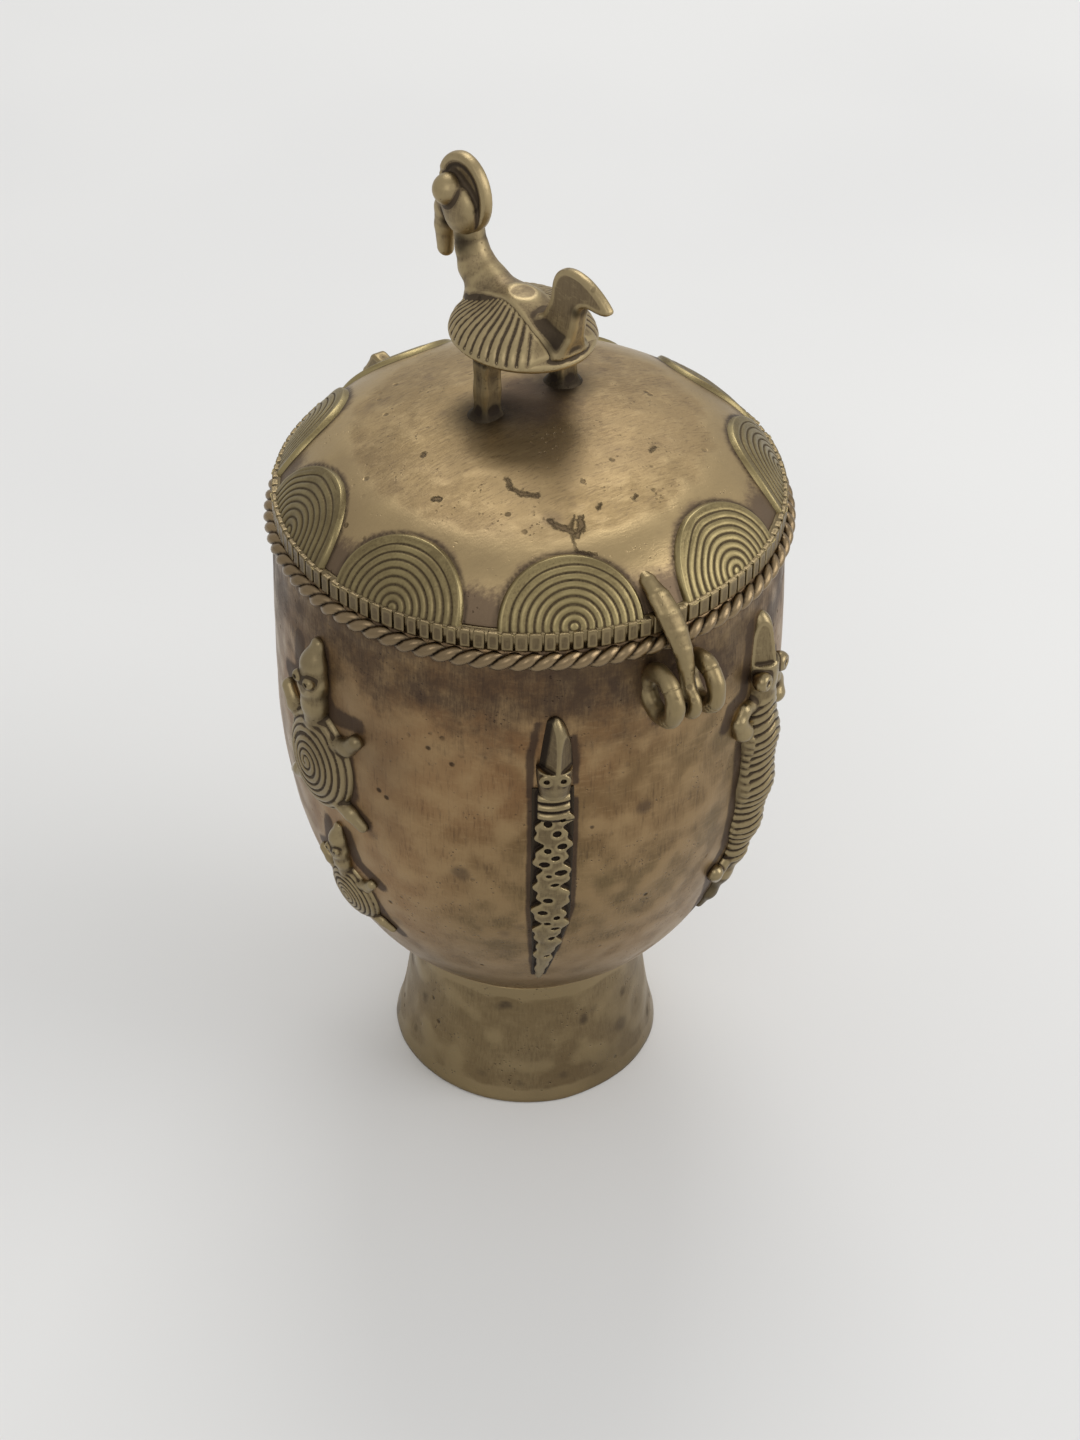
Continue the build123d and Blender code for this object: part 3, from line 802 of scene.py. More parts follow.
def make_dome():
    """The lid's dome, brushed bright on top, with shade painted round and under its discs and round the bird's
    feet, and stain with painted shadow under the bird.
    """
    radii = np.concatenate([np.linspace(0, 60, 62),
                            dome_edge_radius - (dome_edge_radius - 60) * np.linspace(0.93, 0, 16) ** 1.5])
    outline = [(float(r), float(dome_height(r))) for r in radii]
    outline += [(dome_edge_radius - 0.3, band_top), (band_inner_radius, band_top)]
    outline += [(float(r), float(dome_height(r, -lid_wall))) for r in np.linspace(66.6, 0, 26)]

    def shift(grid, rings):
        outside = np.arange(len(rings)) < len(radii) - 2
        amount = outside[:, None] * (0.12 * swell(grid + 300) + 0.06 * hammer(grid + 300))
        return grid + np.array([0, 0, 1]) * amount[..., None]

    points, faces = lathe(outline, 400, shift)
    radius = from_axis(points)
    gap = disc_distance(points)
    under_bird = np.hypot(points[:, 0] - 4, points[:, 1] - 6)
    # Painted shade round and under the discs, darker towards the dome's edge, and stain with painted shadow
    # under the bird.
    stain_and_shade = most(unit(1.0 - gap / 5.0) * 0.75, unit((radius - 56) / 12), unit(1.2 - under_bird / 20))
    # Painted shadow round the bird's feet and painted shade along the discs' edges.
    shade = np.zeros(len(points))
    for side in (-1, 1):
        foot = bird_place(np.array([[0.4, side * leg_spread, 0.0]]))[0]
        away = np.hypot(points[:, 0] - foot[0], points[:, 1] - foot[1])
        shade = most(shade, unit(1.0 - (away - 5) / 12) * 0.7)
    shade = shade * (points[:, 2] > dome_top - 9)
    shade = most(shade, unit(1.3 - np.abs(gap - 0.3) / 0.9) * 0.62)
    piece("lid_dome", points, faces, "lid", "lid", {"stain_and_shade": stain_and_shade, "shade": shade})


def make_rope():
    """The rope round the rim: two strands laid round each other."""
    steps = rope_turns * 28
    lay, strand = 1.05, rope_thickness / 2 - 1.05
    p = Pattern("rope_pattern",
                {"Radius": rope_centre_radius * MM, "Height": rope_height * MM, "Turns": rope_turns,
                 "Steps": steps, "Lay": lay * MM, "Strand": strand * MM, "Unevenness": 0.22 * MM})
    circle = p.node("GeometryNodeCurvePrimitiveCircle", {"Resolution": p["Steps"], "Radius": p["Radius"]})
    profile = p.node("GeometryNodeCurvePrimitiveCircle", {"Resolution": 14, "Radius": p["Strand"]})
    place = p.node("GeometryNodeInputPosition")
    outward = p.node("ShaderNodeVectorMath", {0: place}, operation="NORMALIZE")
    index = p.node("GeometryNodeInputIndex")
    strands = []
    for phase in (0.0, pi):
        uneven = p.node("ShaderNodeTexNoise", {"Vector": place, "W": phase, "Scale": 120.0},
                        noise_dimensions="4D")
        turn = index * p["Turns"] * (2 * pi) / p["Steps"] + phase + (uneven - 0.5) * 0.5
        lift = turn.sine() * p["Lay"] + p["Height"] + (uneven - 0.5) * p["Unevenness"]
        out = turn.cosine() * p["Lay"]
        rise = p.vector(z=lift)
        shift = p.node("ShaderNodeVectorMath", {0: p.along(outward, out), 1: rise}, operation="ADD")
        laid = p.node("GeometryNodeSetPosition", {"Geometry": circle, "Offset": shift})
        strands.append(p.node("GeometryNodeCurveToMesh", {"Curve": laid, "Profile Curve": profile}))
    mesh = p.grow(p.join(strands), finishes["rope"])
    spots = places(mesh)
    from_middle = np.hypot(from_axis(spots) - rope_centre_radius, spots[:, 2] - rope_height)
    under = unit((rope_height - 1.6 - spots[:, 2]) / 0.8) * 0.5
    marks = {"shade": most(unit((2.2 - from_middle) / 0.5), under)}
    dress("rim_rope", mesh, "vessel", "rope", marks)


def make_band():
    """The lid's edge: a flat ring with a row of small raised blocks, the metal left between its nicks."""
    height = band_top - lid_base
    p = Pattern("band_pattern",
                {"Radius": band_radius * MM, "Height": height * MM, "Base": lid_base * MM, "Blocks": band_nicks,
                 "Block width": 3.2 * MM, "Block depth": 2.0 * MM, "Seed": 7})
    half = p["Height"] * 0.5
    middle = p["Base"] + half
    corner = p["Block depth"] * 0.5
    block_size = p.vector(x=p["Block depth"], y=p["Block width"], z=p["Height"])
    block = p.node("GeometryNodeMeshCube",
                   {"Size": block_size, "Vertices X": 3, "Vertices Y": 4, "Vertices Z": 5})
    block = p.node("GeometryNodeSubdivisionSurface", {"Mesh": block, "Level": 2, "Edge Crease": 0.35})
    line_radius = p["Radius"] - corner
    ring = p.node("GeometryNodeMeshCircle", {"Vertices": p["Blocks"], "Radius": line_radius})
    ring = p.node("GeometryNodeTransform", {0: ring, "Translation": p.vector(z=middle)})
    index = p.node("GeometryNodeInputIndex")
    jitter = p.node("FunctionNodeRandomValue", {2: -0.012, 3: 0.012, "Seed": p["Seed"]}, output=1,
                    data_type="FLOAT")
    turn = index * (2 * pi) / p["Blocks"] + jitter
    spin = p.vector(z=turn)
    wide = p.node("FunctionNodeRandomValue", {2: 0.84, 3: 1.08, "Seed": p["Seed"] + 1}, output=1,
                  data_type="FLOAT")
    size = p.vector(x=1.0, y=wide, z=1.0)
    blocks = p.node("GeometryNodeInstanceOnPoints",
                    {"Points": ring, "Instance": block, "Rotation": spin, "Scale": size})
    inner = band_inner_radius * MM
    core_line = p.node("GeometryNodeCurvePrimitiveCircle",
                       {"Resolution": 360, "Radius": (p["Radius"] - 0.7 * MM + inner) * 0.5})
    core_line = p.node("GeometryNodeTransform", {0: core_line, "Translation": p.vector(z=middle)})
    section = p.node("GeometryNodeCurvePrimitiveQuadrilateral",
                     {0: p["Radius"] - 0.7 * MM - inner, 1: p["Height"] - 0.1 * MM}, mode="RECTANGLE")
    core = p.node("GeometryNodeCurveToMesh", {"Curve": core_line, "Profile Curve": section})
    mesh = p.grow(p.join([core, blocks]), finishes["band"])
    spots = places(mesh)
    radius = from_axis(spots)
    marks = {"shade": 0.7 * unit((band_radius - 0.45 - radius) / 0.3) * (spots[:, 2] < band_top - 0.3)
             * (radius > 70.5)}
    dress("lid_band", mesh, "lid", "band", marks)


# Animals in relief, modelled over the wall: distance along it, height, and distance outside it
def seated(node, form, azimuth, low, high, step, shade):
    """A relief cast by its form and wrapped on the wall, closed a little way inside it."""
    def closed(p):
        return most(form(p), -p[..., 2] - relief_sink)

    flat, faces = skin(closed, (*low, -relief_sink - 0.6), high, step)
    points = on_wall(azimuth, flat[:, 0], flat[:, 1], flat[:, 2])
    piece(node, points, faces, "vessel", "relief", {"shade": shade(flat)})


def snake_middle(v):
    share = unit((v - 71) / 33)
    return 0.9 * share * np.cos(2 * pi * (146 - v) / 10.7) - 2.0 * (1 - share), share


def snake_spots(u, v):
    """1 inside the dark round spots on the snake, 0 outside."""
    rng = np.random.default_rng(4)
    inside = np.zeros_like(u)
    for height in np.arange(144.0, 76, -4.9):
        for side in (-1, 1):
            spot_v = height + side * 0.9 + rng.uniform(-0.6, 0.6)
            middle, share = snake_middle(spot_v)
            spot_u = middle + side * (0.5 + 1.2 * share) * rng.uniform(0.8, 1.1)
            size = (0.32 + 0.42 * share) * rng.uniform(0.6, 1.35)
            gap = np.hypot((u - spot_u) / rng.uniform(0.9, 1.5), v - spot_v) / size
            if rng.uniform() < 0.62:
                inside = most(inside, unit((1.3 - gap) / 0.3))
    return inside


def snake_bar(v):
    """1 on a raised bar of the snake's neck, 0 between two."""
    return np.sin(pi * np.clip((v - snake_bars[0]) / bar_pitch, 0, 3.0)) ** 2


def snake_form(p):
    """A wedge-headed snake that winds down a narrow sunk strip."""
    u, v, h = parts(p)
    middle, share = snake_middle(v)
    width = 0.9 + share * (3.3 + 0.6 * np.sin(1.35 * v + 1) * np.sign(u - middle) + 0.35 * np.sin(0.83 * v))
    across = (u - middle) / width
    body = most((np.abs(across) - 1) * width, v - 147, 71.5 - v)
    top = 1.5 + 0.9 * share - 0.5 * across ** 2 - snake_spots(u, v)
    body = most(body, (h - top) * 0.9)
    bands = most(np.abs(u - 0.1) - 4.4, v - snake_bars[1], snake_bars[0] - v)
    bands = most(bands, (h - 1.6 - 1.4 * np.sqrt(snake_bar(v)) + 0.05 * u ** 2) * 0.8)
    head = egg(p, (0.2, 163.0, 0.0), (5.0, 16.5, 5.2))
    ridge = (h + 1.25 * np.abs(u - 0.6 - (v - 160) * 0.05) - 5.6 + (v - 164) * 0.10) / 1.6
    head = most(head, np.where(v > 163.2, ridge, -9.0))
    head = most(head, 155.0 - 0.05 * u ** 2 - v - 1.2 * (1 - (u / 4.4) ** 2))
    for side in (-1, 1):
        eye = np.array([side * 2.15, 160.8, 4.3])
        head = least(head, hoop(p, eye, 1.35, 0.75, axis=2))
        head = most(head, 0.75 - length((p - eye - np.array([0, 0, 0.5])) / np.array([1, 1, 1.6])))
    half = 5.8 - 3.6 * unit((106 - v) / 33)
    bed = most(np.abs(u + 2.0 * unit((100 - v) / 30)) - half, h - 0.3, v - 155, 71 - v)
    return least(body, bands, head, bed)


def snake_shade(p):
    # Painted shade where the snake meets the wall, between the neck's bars and over the head, most on its left
    # flank; the dark spots are the snake's own.
    u, v, h = parts(p)
    low = unit((0.9 - h) / 0.5)
    gaps = (v < snake_bars[1]) * (v > snake_bars[0]) * unit(1 - snake_bar(v) * 2.2)
    flank = (v > 154) * most(unit((2.6 - h) / 1.4) * np.where(u < 0, 1.0, 0.4), 0.28)
    return most(low, snake_spots(u, v) * (v < 147), gaps, flank)


def lizard_rib(u, v):
    """0 in a groove between two ribs of the lizard's back, 1 on a rib."""
    return np.abs(np.sin(pi * (v + rib_lean * np.abs(u)) / rib_pitch))


def lizard_form(p):
    """A lizard climbing the wall: pointed snout, ring eyes, ribbed back and round feet."""
    u, v, h = parts(p)
    trunk = [(0, 158, -0.6, 6.0), (0, 146, -1.2, 7.6), (0, 128, -1.4, 7.8), (0, 112, -1.0, 6.4),
             (-0.4, 100, -0.2, 4.3), (-1.2, 90, 0.0, 2.8), (-1.6, 81, 0.0, 1.9), (-0.6, 73.5, 0.0, 1.2)]
    body = limb(p, trunk, 3.0)
    rib = np.sqrt(lizard_rib(u, v))
    ribbed = unit((159.5 - v) / 3) * unit((v - 96) / 5) * unit((6.9 - np.abs(u)) / 0.8)
    body = body + 0.75 * (1 - rib) * ribbed
    bead = np.abs(np.abs(u) - 7.3 + np.clip((112 - v) / 8, 0, 3)) / 0.8
    body = body - 0.45 * unit(1 - bead) * (0.5 + 0.5 * np.cos(2 * pi * v / 2.6)) * (v < 150) * (v > 100)
    head = egg(p, (0, 170.0, -0.4), (5.2, 17.5, 6.2))
    ridge = (h + 0.95 * np.abs(u) - 6.2 + (v - 166) * 0.13) / 1.4
    head = most(head, np.where(v > 171.5, ridge, -9.0))
    form = smooth_least(body, head, 1.4)
    for side in (-1, 1):
        eye = np.array([side * 5.2, 167.7, 4.0])
        ball = most(egg(p, eye, (2.9, 2.9, 2.9)), h - 6.1)
        ball = most(ball, 0.95 - np.hypot(np.hypot(u - eye[0], v - eye[1]), least(h - 6.2, 0)))
        form = smooth_least(form, ball, 0.6)
        fore = limb(p, [(side * 4, 158, 0.4, 2.4), (side * 9.2, 158.6, 0.5, 2.3),
                        (side * 11.6, 156.0, 0.8, 2.4), (side * 10.2, 152.4, 1.4, 3.2)], 1.0)
        hind = limb(p, [(side * 2, 100, 0.4, 2.2), (side * 8.0, 94.0, 0.6, 2.0), (side * 10.2, 97.2, 1.0, 2.5)],
                    0.8)
        form = smooth_least(form, least(fore, hind), 0.7)
    return form


def lizard_shade(p):
    u, v, h = parts(p)
    lines = unit(1 - lizard_rib(u, v) / 0.36) * (v < 159) * (v > 96) * (np.abs(u) < 7.0)
    return most(unit((0.5 - h) / 0.6), lines, 0.6 * (v < 90))


def shell_rings(u, v):
    """Rings scored on a tortoise's shell: 0 in a groove, 1 on the ridge between two."""
    spread = np.hypot(u / shell_width, v - 1.2 * unit(1 - np.hypot(u, v) / 14))
    turn = np.arctan2(v, u) / (2 * pi)
    inner = unit(1 - spread / 9)
    return np.sqrt(np.abs(np.sin(pi * (spread / shell_pitch + turn * (inner > 0)))))


def tortoise(size, middle):
    """Form and shading of a tortoise climbing the wall, its shell scored with rings."""
    def place(p):
        return (p - np.array([0, middle, 0])) / size

    def form(p):
        q = place(p)
        u, v = q[..., 0], q[..., 1]
        spread = np.hypot(u / shell_width, v)
        shell = egg(q, (0, 0, -0.4), (13.8, 17.8, 6.2))
        shell = shell + 0.8 * (1 - shell_rings(u, v)) * unit((17.4 - spread) / 1.5)
        head = limb(q, [(0, 12, 0.0, 4.2), (0, 20, 0.8, 4.1), (0, 28, 1.2, 4.6), (0.3, 34, 1.2, 3.9),
                        (0.8, 40, 0.4, 2.2)], 2.0)
        head = most(head, q[..., 2] - 5.6)
        for side in (-1, 1):
            eye = np.array([side * tortoise_eye[0], tortoise_eye[1], 5.0])
            ball = length(q - eye) - 1.8
            ball = most(ball, 0.75 - length(q - eye - np.array([0, 0, 1.7])))
            head = smooth_least(head, ball, 0.4)
        animal = smooth_least(shell, head, 0.9)
        for side in (-1, 1):
            fore = limb(q, [(side * 5, 9.5, 0.2, 3.0), (side * 12.5, 11.0, 0.6, 2.6),
                            (side * 16.0, 15.0, 0.9, 2.3)], 1.0)
            hind = limb(q, [(side * 7, -11.0, 0.2, 2.8), (side * 12.5, -13.2, 0.6, 2.4),
                            (side * 16.2, -16.0, 0.5, 1.9)], 0.8)
            animal = smooth_least(animal, least(fore, hind), 0.7)
        return animal * size

    def shade(p):
        q = place(p)
        u, v, h = parts(q)
        lines = unit(1 - shell_rings(u, v) / 0.45) * (np.hypot(u / shell_width, v) < 17.0)
        # The pupils are the tortoise's own dark eyes; the rest of this mark is painted shade near the wall and
        # in the shell's rings.
        pupil = np.zeros_like(u)
        for side in (-1, 1):
            pupil = most(pupil, unit(1.4 - np.hypot(u - side * tortoise_eye[0], v - tortoise_eye[1]) / 0.8)
                         * (h > 4))
        return most(unit((0.5 - h) / 0.6), lines, pupil)

    return form, shade


def make_animals():
    """Four kinds of animal, each one twice round the wall."""
    for turn, tag in ((0.5, "front"), (3.5, "back")):
        seated("snake_" + tag, snake_form, 1.0 - 60 * turn, (-7, 69), (7, 181, 7.5), 0.32, snake_shade)
        seated("lizard_" + tag, lizard_form, 60 * turn - 3.2, (-15, 71), (15, 190, 7.8), 0.42, lizard_shade)
    for side, tag in ((-1, "left"), (1, "right")):
        form, shade = tortoise(1.0, 142.5)
        seated("tortoise_" + tag, form, side * 90 + 3.4, (-19, 122), (19, 186, 7.8), 0.38, shade)
        form, shade = tortoise(0.68, 92.0)
        seated("small_tortoise_" + tag, form, side * 90 + 7.0, (-14, 78), (14, 122, 5.6), 0.32, shade)


# Half discs
def drop_on_dome(points, out, height):
    """Points moved along a direction until they lie a height outside the dome."""
    centre_r, centre_z, shoulder = shoulder_arc()
    travel = np.zeros(points.shape[:-1])
    for _ in range(8):
        spot = points + travel[..., None] * out
        radius = from_axis(spot)
        low = np.hypot(radius - centre_r, spot[..., 2] - centre_z) - shoulder
        high = np.hypot(radius, spot[..., 2] - crown_centre) - crown_radius
        travel = travel + (height - np.where(radius > crown_reach, low, high))
    return points + travel[..., None] * out


def closed_sheet(top, under):
    """Points and faces of a sheet with a top and an under side joined round the edge."""
    rows, columns = top.shape[:2]
    points = np.concatenate([top.reshape(-1, 3), under.reshape(-1, 3)])
    index = np.arange(rows * columns).reshape(rows, columns)
    upper = np.stack([index[:-1, :-1], index[1:, :-1], index[1:, 1:], index[:-1, 1:]], -1).reshape(-1, 4)
    rim = np.concatenate([index[0, :-1], index[:-1, -1], index[-1, :0:-1], index[:0:-1, 0]])
    after = np.roll(rim, -1)
    side = np.stack([rim, after, after + rows * columns, rim + rows * columns], -1)
    return points, np.concatenate([upper, upper[:, ::-1] + rows * columns, side])


def make_discs():
    """Nine half discs, each scored with rings that a hand drew not quite true."""
    for index, azimuth in enumerate(disc_azimuths):
        rng = np.random.default_rng(20 + index)
        drift = rng.uniform(-0.5, 0.5, 2)
        middle, across, slope, out = disc_frame(azimuth)
        wobble = waves(40 + index, 10, 9, 30)
        side = np.linspace(-1, 1, 190)
        rise = np.linspace(-0.12, 1, 110)
        a, b = np.meshgrid(side, rise, indexing="ij")
        reach = np.where(b > 0, np.sqrt(np.clip(1 - b ** 2, 0.0004, 1)), 1.0)
        a, b = a * reach * disc_radius, b * disc_radius
        r = np.hypot(a, most(b, 0))
        ring = np.hypot(a - drift[0], b + 0.3 - drift[1]) + 0.25 * wobble(np.stack([a, b, 0 * a], -1))
        between = np.abs(np.sin(pi * (ring + 0.6) / groove_pitch)) ** 0.4
        inner = unit((disc_radius - 1.6 - r) / 0.5)
        edge = np.sqrt(unit((disc_radius - r) / 0.8))
        height = -0.6 + (disc_thickness + 0.6) * edge - 0.6 * (1 - between) * inner
        height = height + 0.05 * wobble(np.stack([a, b, r], -1) * 1.7)
        flat = middle + a[..., None] * across + b[..., None] * slope
        top = drop_on_dome(flat, out, height)
        under = drop_on_dome(flat, out, np.full_like(height, -0.8))
        top[..., 2] = most(top[..., 2], band_top - 0.25)
        under[..., 2] = most(under[..., 2], band_top - 0.3)
        points, faces = closed_sheet(top, under)
        lines = unit(1 - between / 0.55) * inner
        marks = {"shade": np.concatenate([lines.ravel(), np.zeros(under[..., 0].size)])}
        piece("lid_disc_%d" % (index + 1), points, faces, "lid", "disc", marks)


# Fittings, modelled in the row frame
def cast(node, form, low, high, step, body="lid", kind="fitting", shade=None, placed=None, also=()):
    """A piece with its surface where its form's distance is zero; placed turns it into the row frame."""
    points, faces = skin(form, low, high, step)
    marks = {"shade": shade(points)} if shade else None
    if placed:
        points = placed(points)
    piece(node, points, faces, body, kind, marks, also)


def hasp_place(p):
    """Points turned a little round the upright axis, towards where the hasp hangs in the photograph."""
    turn = radians(hasp_turn)
    x, y, z = parts(p)
    return np.stack([x * cos(turn) - y * sin(turn), x * sin(turn) + y * cos(turn), z], -1)


def ring_form(middle, side, facing, radius, wire):
    """A ring standing edge-on from the wall, a little worn flat outside, with small nicks."""
    def form(p):
        q = p - middle
        turn = np.arctan2(q[..., 2], q[..., 1] * facing)
        ring = hoop(p, middle, radius, wire, axis=0)
        ring = ring + 0.10 * np.sin(3 * turn + side) + 0.08 * np.sin(7 * turn + 2 * side)
        worn = np.abs(q[..., 0]) + 0.35 * np.hypot(q[..., 1], q[..., 2]) - wire - 0.35 * radius - 0.1
        ring = most(ring, worn * 0.9)
        for nick in (-0.85, -0.62, 0.9):
            ring = ring + 0.3 * unit(1 - np.abs(turn - nick - side * 0.1) / 0.04)
        return most(ring, ring_root_radius - from_axis(p))
    return form


def make_rings():
    """Two rings of the hasp, moved in and up a little, and two of the hinge."""
    for place, facing, radius, wire, placed, shift in (
            ("hasp", -1, hasp_mean_radius, hasp_wire / 2, hasp_place, (0, hasp_inset, hasp_lift)),
            ("hinge", 1, ring_mean_radius, ring_wire / 2, None, (0, 0, 0))):
        for side, tag in ((-1, "left"), (1, "right")):
            middle = np.array([side * ring_spacing / 2, facing * ring_reach, ring_height]) + np.array(shift)
            reach = radius + wire + 0.6
            half = np.array([wire + 0.6, reach, reach])
            cast("%s_ring_%s" % (place, tag), ring_form(middle, side, facing, radius, wire), middle - half,
                 middle + half, 0.4, "vessel", placed=placed)


def make_strap():
    """The hasp strap, from its broad root on the dome to the eye between the two rings."""
    spine = [(0, -60.5, 213.8, 1.1), (0, -64.5, 213.0, 1.7), (0, -69.0, 210.9, 2.0), (0, -72.8, 207.0, 2.1),
             (0, -75.6, 202.5, 2.1), (0, -77.8, 197.5, 2.0), (0, -79.4, 192.5, 1.95), (0, -80.7, 187.5, 1.9),
             (0, -81.2, 184.0, 1.9)]
    eye_place, eye_radius, wire = (0, -81.2, 182.4), 3.3, 1.95

    def form(p):
        x, y, z = parts(p)
        wide = np.interp(z, [180, 190, 199, 205, 210, 214], [1.1, 1.2, 1.5, 1.7, 1.7, 1.3])
        bend = 3.2 * unit((z - 195) / 18) ** 1.3
        strap = limb(np.stack([(x + bend) / wide, y, z], -1), spine, 0.3)
        eye = hoop(p, eye_place, eye_radius, wire, axis=0)
        return smooth_least(strap, eye, 1.2)

    cast("hasp_strap", form, (-8.2, -90.0, 175.5), (6.8, -57.5, 217.5), 0.38,
         placed=hasp_place, also=["hasp_eye"])


def make_leaf():
    """The hinge leaf: an arm from the band over the rope, with its eye round the pin."""
    half = 2.2
    play = ring_mean_radius - ring_wire / 2 - pin_radius - 0.1
    reach, height = ring_reach + play / sqrt(2), ring_height + play / sqrt(2)
    bore = pin_radius + 0.08
    arm_height = band_top - half
    spine = [(0, band_radius - 1.4, arm_height, half), (0, reach - 4.2, arm_height, half),
             (0, reach + 0.2, rope_height, half), (0, reach, height + bore + half, half)]

    def form(p):
        flat = p * np.array([0, 1, 1])
        arm = limb(flat, spine, 1.0)
        eye = np.hypot(p[..., 1] - reach, p[..., 2] - height) - bore - 4.3
        plate = least(arm, eye)
        plate = np.hypot(most(plate + 0.9, 0), most(np.abs(p[..., 0]) - 1.4, 0)) - 0.9
        hole = bore - np.hypot(p[..., 1] - reach, p[..., 2] - height)
        return most(plate, hole)

    cast("hinge_leaf", form, (-2.9, 68.6, height - 7.6), (2.9, 91.2, band_top + 0.6), 0.34)


# Bird, modelled in its own axes: X forwards, Y to its left, Z up from its rim
def bird_place(p):
    turn = radians(bird_turn)
    forwards = np.array([-sin(turn), cos(turn), 0])
    left = np.array([-cos(turn), -sin(turn), 0])
    origin = np.array([bird_x, bird_y, dome_top + bird_underside])
    return origin + p[:, :1] * forwards + p[:, 1:2] * left + p[:, 2:] * np.array([0, 0, 1.0])


def bird_back(p, grown=0.0):
    """Distance to the bird's back, which falls like a tent to its rim, and to its shallow belly."""
    x, y, z = parts(p)
    reach = unit((np.hypot((x - 1.2) / 21.6, y / 19.5) - 0.2) / 0.8)
    sunk = np.stack([x, y, z + 1.9 * np.sin(pi * reach)], -1)
    above = egg(sunk, (1.2, 0, -1.5), (21.6 + grown, 19.5 + grown, 13.4 + grown))
    below = egg(p, (1.2, 0, 0), (21.4 + grown, 19.3 + grown, 4.0 + grown))
    return np.where(z > 0, above, below)


def wing_edge(x):
    """Half width of the smooth strip along the back, between the wings."""
    return 4.9 + 0.07 * np.clip(10 - x, 0, 21)


def bird_body(p):
    """Body, neck and tail, run together as they were in wax."""
    x, y, z = parts(p)
    body = bird_back(p)
    oval = (np.hypot((x - 1.2) / 21.4, y / 19.3) - 1) * 20.5
    body = smooth_least(body, np.hypot(oval + 0.9, z - 0.2) - 1.05, 0.8)
    strip = most(bird_back(p, 1.05), (np.abs(y) - wing_edge(x)) * 0.95) + 0.25
    strip = most(strip, 3.0 - z)
    body = smooth_least(body, strip, 1.0)
    neck = limb(p, [(8.0, 0, 6.5, 5.4), (16.0, 0, 8.2, 6.2), (21.0, 0, 12.0, 5.3), (23.2, 0, 16.5, 4.6),
                    (24.4, 0, 21.5, 4.2), (25.6, 0, 28.0, 4.2)], 0.8)
    body = smooth_least(body, neck, 3.5)
    return smooth_least(body, tail_form(p), 2.8)


def fan_angle(x, y):
    """Heading in degrees of a place on a wing, from where its ribs would meet."""
    return np.degrees(np.arctan2(np.abs(y) + 10, x - 6))


def rib_wave(x, y):
    """0 in a groove between two feathers, 1 on a feather."""
    return np.abs(np.sin(pi * (fan_angle(x, y) - first_groove + 0.3 * np.sin(0.55 * np.abs(y)))
                         / feather_pitch)) ** 0.5


def rib_depth(x, y):
    """How far the grooves are cut: less at the rear, where the casting is rough."""
    return unit((139 - fan_angle(x, y)) / 10)


def wing_form(side):
    def form(p):
        x, y, z = p[..., 0], p[..., 1] * side, p[..., 2]
        ribs = rib_wave(x, y)
        plate = bird_back(p, 0.5) + 0.6 * (1 - ribs) * unit((z - 0.4) / 0.8) * rib_depth(x, y)
        plate = plate + 0.2 * unit((-13 - x) / 4)
        region = most(wing_edge(x) - 0.3 - y, -16.5 - 0.35 * (10 - y) - x, x - 21.0 + 0.12 * y)
        within_both = least(most(plate, region) + 0.3, 0)
        plate = np.hypot(most(plate + 0.3, 0), most(region + 0.3, 0)) - 0.3 + within_both
        return most(plate, -0.9 - bird_back(p), -z - 0.2)
    return form


def wing_shade(p):
    x, y = p[..., 0], p[..., 1]
    lines = unit(1 - rib_wave(x, y) / 0.6) * rib_depth(x, y)
    edge = unit(1 - (np.abs(y) - wing_edge(x)) / 0.7) * (x < 14)
    return most(lines * 0.62, edge * 0.6) * (p[..., 2] > 0.5)


def bird_head(p):
    """Head with its round eyes, drooping beak and hood-like crest."""
    x, y, z = parts(p)
    head = egg(p, (28.0, 0, 30.8), (6.4, 4.4, 6.6))
    for side in (-1, 1):
        eye = length(p - np.array([28.8, side * 3.5, 33.4])) - 4.6
        cheek = egg(p, (25.4, side * 2.2, 28.0), (6.6, 3.6, 7.4))
        head = smooth_least(smooth_least(head, cheek, 1.6), eye, 0.9)
    beak = limb(p * np.array([1, 1.15, 1]), [(31.0, 0, 29.5, 4.2), (33.8, 0, 24.5, 3.9), (34.8, 0, 18.5, 3.3),
                                             (34.8, 0, 11.6, 2.6)], 0.6) * 0.9
    head = smooth_least(head, beak, 1.3)
    flat = crest_reach(x, z)
    plate = most(flat - 9.9, np.abs(y) - 1.2)
    rim = np.hypot(flat - 8.9, y / 1.25) - 1.35
    rim = rim + 2.5 * unit((x - 31.0) / 3.0) * unit((37 - z) / 4)
    return smooth_least(head, smooth_least(plate, rim, 0.8), 1.0)


def crest_reach(x, z):
    """Distance in the crest's plane from its middle, less along its height, as it is taller than long."""
    return np.hypot(x - 26.0, (z - 32.6) * 0.88)


def head_shade(p):
    x, y, z = parts(p)
    inner = unit(1 - np.abs(crest_reach(x, z) - 7.2) / 0.8) * (np.abs(y) < 3.0)
    throat = unit(1 - np.hypot(x - 31.5, z - 21.5) / 3.0)
    return most(inner * 0.6, throat)


def body_shade(p):
    x, y, z = parts(p)
    nape = unit(1.3 - np.hypot(x - 23.0, (z - 19.5) * 0.9) / 4.6)
    tail_foot = unit(1.2 - np.hypot(np.hypot(x + 17.0, np.abs(y) - 5.5), z - 6.0) / 5.5)
    notch = unit(1.2 - np.hypot(x + 22.6, z - 17.5) / 3.0)
    return most(nape * 0.75, tail_foot * 0.62, notch * 0.7)


def rounded(outline):
    """An outline with its corners cut twice over."""
    line = np.array(outline, float)
    for _ in range(2):
        after = np.roll(line, -1, axis=0)
        line = np.stack([0.75 * line + 0.25 * after, 0.25 * line + 0.75 * after], 1).reshape(-1, 2)
    return line


